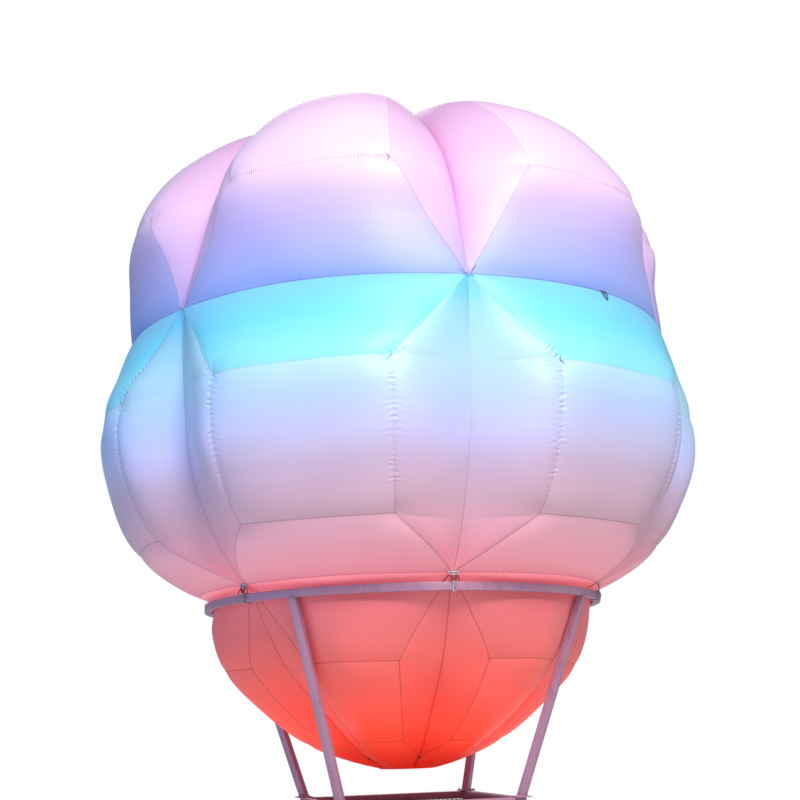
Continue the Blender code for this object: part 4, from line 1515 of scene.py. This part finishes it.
    def build_feet(self) -> None:
        """Turn the four rubber feet."""
        rubber = Moulded("foot_rubber", (34, 34, 36), 0.78, 0.0006).make(self.effects)
        for corner in CORNERS:
            low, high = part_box(f"foot_pad_{corner}")
            middle, radius, top = (low + high) / 2, (high.x - low.x) / 2, high.z
            section = ((0.0, top), (0.55, top), (0.62, top - 0.002), *self.FOOT)
            mesh = lathe(f"foot_pad_{corner}_rubber", [(radius * share, height) for share, height in section],
                         40, (middle.x, middle.y, 0.0))
            hand_over(finished(mesh.name, mesh, rubber), "rubber", f"foot_pad_{corner}")

    def build(self) -> None:
        """Build the sides, the floor board and the feet."""
        self.build_sides()
        plywood = Strands("birch_plywood", (196, 160, 112), (168, 130, 86), (3.0, 26.0, 240.0), 0.0003, 0.5)
        dress("floor_board", "plywood", self.board_edge, plywood.make(self.effects), "plywood")
        self.build_feet()


@dataclass
class WaistTies:
    """Webbing, buckle and lashing cord at each of the six waist pinches.

    The knot is its depth, its ring's radius and how far that swings. Tails and strap_ends give
    the two ends of the cord and of the webbing, which differ.
    """

    effects: Effects
    cord_r: float = 0.0026
    cord_turns: int = 2
    knot: Point = (0.0036, 0.0060, 0.0026)
    tails: Pair = (0.028, 0.044)
    strap_w: float = 0.016
    strap_ends: Pair = (0.052, 0.030)
    strap_end_r: float = 0.0034
    slide_w: float = 0.044
    slide_h: float = 0.022
    slide_r: float = 0.0036
    bar_r: float = 0.0034

    def lashing(self, near: float, far: float, low: float, high: float) -> list[Mesh]:
        """Wind cord round the hoop tube, with a knot on its outer face and two short ends.

        Args:
            near: radius of the tube's inner face.
            far: radius of its outer face.
            low: height of its underside.
            high: height of its top.

        Returns:
            The cord's parts, about +X.
        """
        grow = self.cord_r * 1.05
        corners = [(far + grow, low - grow), (far + grow, high + grow), (near - grow, high + grow),
                   (near - grow, low - grow)]
        knot = Vector((far + 0.006, 0.0, high - 0.004))
        deep, wide, swing = self.knot

        def wound(share: float) -> Point:
            """A point of the turns, which lie side by side."""
            radius, height = walked(corners, share * 4 * self.cord_turns)
            return radius, (share - 0.5) * self.cord_r * 2.2 * self.cord_turns, height

        def knotted(share: float) -> Vector:
            """A point of the knot."""
            turn = WHOLE_TURN * share
            ring = wide + swing * cos(3 * turn)
            return knot + Vector((deep * sin(3 * turn), ring * cos(2 * turn), ring * sin(2 * turn)))

        made = [tube(curve(32 * self.cord_turns, wound), self.cord_r, "lashing"),
                tube(curve(48, knotted)[:-1], self.cord_r, "knot", closed=True)]
        for way, length in zip((1, -1), self.tails):
            tail = curve(8, lambda share: knot + Vector((
                0.003 + 0.006 * sin(pi * share), way * (0.003 + 0.006 * share ** 2), -length * share ** 1.2)))
            made.append(tube(tail, self.cord_r * 0.9, "cord_end"))
        return made

    def straps(self, far: float, high: float, seam: float) -> list[Mesh]:
        """Run webbing from the slide's two ends in to the knot, and one longer end to each side.

        Args:
            far: radius of the hoop's outer face.
            high: height of the hoop's top.
            seam: height of the waist seam.

        Returns:
            The straps, about +X.
        """
        made, start = [], seam - 0.006
        for way in (-1, 1):
            path = curve(8, lambda share: (
                far + 0.006 + 0.003 * sin(pi * share), way * 0.016 * (1.0 - 0.85 * share),
                start - (seam - high - 0.004) * share))
            made.append(tube(path, self.strap_w / 2, "strap", flat=0.16, across=ALONG_Y))
        for way, reach in zip((-1, 1), self.strap_ends):
            path = curve(8, lambda share: (
                far + 0.004 - 0.002 * share, way * (0.018 + (reach - 0.018) * share ** 1.2),
                start - (seam - high - 0.008) * share))
            made.append(tube(path, self.strap_end_r, "strap_end", flat=0.35, across=ALONG_Y))
        return made

    def tab(self, far: float, seam: float) -> Mesh:
        """The pale webbing tab sewn to the waist seam behind the slide."""
        half = self.slide_h / 2 + 0.002
        path = curve(6, lambda share: (far + 0.0035, 0.0, seam + half - 2 * half * share))
        return tube(path, self.slide_w / 2 - 0.001, "tab", flat=0.09, across=ALONG_Y)

    def buckle(self, far: float, seam: float) -> list[Mesh]:
        """Mould a slide of two slots that holds the webbing.

        Args:
            far: radius of the hoop's outer face.
            seam: height of the waist seam.

        Returns:
            The slide's frame and its bar, about +X.
        """
        wide, tall = self.slide_w / 2, self.slide_h / 2
        corners = [(-wide, -tall), (wide, -tall), (wide, tall), (-wide, tall)]

        def rim(share: float) -> Point:
            """A point of the slide's outer frame."""
            aside, height = walked(corners, share * 4)
            return far + 0.0065, aside, seam + height

        bar = curve(4, lambda share: (far + 0.0075, wide * (2 * share - 1), seam))
        along_x = Vector((1.0, 0.0, 0.0))
        return [tube(curve(16, rim)[:-1], self.slide_r, "slide", closed=True, flat=0.7, across=along_x),
                tube(bar, self.bar_r, "bar")]

    def build(self) -> None:
        """Build one tie and repeat it at the six pinches."""
        webbing = Strands("maroon_webbing", (146, 40, 50), (100, 24, 32), (300.0, 300.0, 900.0), 0.0005, 0.72)
        cord = Strands("lashing_cord", (186, 172, 182), (150, 132, 146), (700.0, 700.0, 700.0), 0.0006, 0.66)
        plastic = Moulded("white_plastic", (186, 174, 180), 0.42, 0.0002)
        low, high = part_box("hoop")
        far, near = high.x, high.x - (high.z - low.z)
        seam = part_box("base_lobe_1")[1].z
        parts = (("webbing", webbing, self.straps(far, high.z, seam)),
                 ("lashing", cord, [*self.lashing(near, far, low.z, high.z), self.tab(far, seam)]),
                 ("buckle", plastic, self.buckle(far, seam)))
        for part, finish, meshes in parts:
            material, mesh = finish.make(self.effects), joined(part, meshes)
            for number in range(LOBES):
                turn = radians(HALF_LOBE * (2 * number + 1) + ENVELOPE_TURN)
                nodes = (f"waist_tie_{number + 1}",) if part == "webbing" else ()
                piece = finished(f"waist_{part}_{number + 1}", turned(mesh, turn), material)
                hand_over(piece, "webbing", *nodes)


@dataclass
class InletFan:
    """The inlet fan: ring, guard, motor and rotor."""

    effects: Effects

    def build(self) -> None:
        """Round the fan's edges and give it its moulded finish."""
        plastic = Moulded("fan_plastic", (38, 38, 42), 0.46, 0.0003).make(self.effects)
        for part, edge, body in (("ring", 0.0015, FRAME_BODY), ("guard", 0.0010, FRAME_BODY),
                                 ("motor", 0.0020, FRAME_BODY), ("rotor", 0.0008, "rotor")):
            dress(f"fan_{part}", "moulding", edge, plastic, "black_plastic", body)


@dataclass(frozen=True)
class Studio:
    """Pale floor, soft lights, and the camera at the photograph's viewing angle."""

    eye: Point = (-1.945, -7.259, 1.453)
    heading_deg: float = 15.15
    pitch_deg: float = 13.22
    lean_deg: float = 1.73
    focal_px: float = 1394.0
    frame_px: float = 800.0
    sensor_mm: float = 36.0
    floor_r: float = 15.0
    aim_z: float = 2.9

    # Each light's name, place, size in metres, power in watts, and colour.
    LIGHTS = (("key", (-0.5, -8.4, 8.2), 3.5, 1070.0, (1.0, 0.96, 0.92)),
              ("sky", (-7.5, -1.5, 2.2), 5.0, 110.0, (0.28, 0.54, 1.0)),
              ("side", (7.5, -1.0, 2.4), 5.0, 52.0, (1.0, 0.86, 0.78)),
              ("back", (1.0, 7.5, 8.0), 4.5, 300.0, (1.0, 0.98, 0.96)))

    def build_camera(self) -> None:
        """A standing viewer's camera, looking up and leaning a little."""
        heading, pitch, lean = (radians(angle) for angle in (self.heading_deg, self.pitch_deg, self.lean_deg))
        flat = Vector((sin(heading), cos(heading), 0.0))
        ahead = flat * cos(pitch) + Vector((0.0, 0.0, sin(pitch)))
        right = flat.cross(Vector((0.0, 0.0, 1.0)))
        up = right.cross(ahead)
        right, up = right * cos(lean) - up * sin(lean), right * sin(lean) + up * cos(lean)
        camera = bpy.data.objects.new("camera", bpy.data.cameras.new("camera"))
        camera.data.sensor_width = self.sensor_mm
        camera.data.lens = self.sensor_mm * self.focal_px / self.frame_px
        turn = Matrix((right, up, -ahead)).transposed().to_4x4()
        camera.matrix_world = Matrix.Translation(self.eye) @ turn
        bpy.context.scene.collection.objects.link(camera)
        bpy.context.scene.camera = camera

    def build_floor(self) -> None:
        """A round pale floor under the object."""
        bm = bmesh.new()
        bmesh.ops.create_circle(bm, cap_ends=True, segments=96, radius=self.floor_r)
        finish = Finish("studio_floor", 0.7)
        grain = finish.nodes.noise(finish.nodes.place(), 30.0)
        finish.set(Base_Color=(0.84, 0.84, 0.845, 1.0), Normal=finish.bump(grain, 0.0004))
        finished("studio_floor", mesh_of(bm, "studio_floor"), finish.material)

    def build_light(self, name: str, place: Point, size: float, power: float, colour: Point) -> None:
        """Hang one soft area light, aimed at the envelope's middle.

        Args:
            name: the light's name.
            place: where it hangs.
            size: its width in metres.
            power: its power in watts.
            colour: its linear colour.
        """
        data = bpy.data.lights.new(name, "AREA")
        data.shape = "DISK"
        data.size, data.energy, data.color = size, power, colour
        light = bpy.data.objects.new(name, data)
        away = Vector(place) - Vector((0.0, 0.0, self.aim_z))
        light.matrix_world = Matrix.Translation(place) @ away.to_track_quat("Z", "Y").to_matrix().to_4x4()
        bpy.context.scene.collection.objects.link(light)

    def build_world(self) -> None:
        """A white surround that the camera sees brighter than the object does."""
        world = bpy.data.worlds.new("studio")
        world.use_nodes = True
        nodes = Nodes(world.node_tree)
        seen = nodes.add("ShaderNodeLightPath").outputs["Is Camera Ray"]
        strength = nodes.plus(nodes.times(seen, 0.67), 0.34)
        back = world.node_tree.nodes["Background"]
        nodes.fill(back.inputs["Color"], nodes.mix(seen, (0.66, 0.86, 1.0, 1.0), (0.99, 0.99, 1.0, 1.0)))
        nodes.fill(back.inputs["Strength"], strength)
        bpy.context.scene.world = world
        bpy.context.scene.view_settings.view_transform = "Standard"

    def build(self) -> None:
        """Build the studio."""
        self.build_camera()
        self.build_floor()
        self.build_world()
        for light in self.LIGHTS:
            self.build_light(*light)


def main() -> None:
    """Build the studio, then each sub-assembly in turn."""
    Studio().build()
    effects = Effects()
    for part in (Envelope(effects), TubeFrame(effects), Basket(effects), WaistTies(effects), InletFan(effects)):
        part.build()


if __name__ == "__main__":
    main()
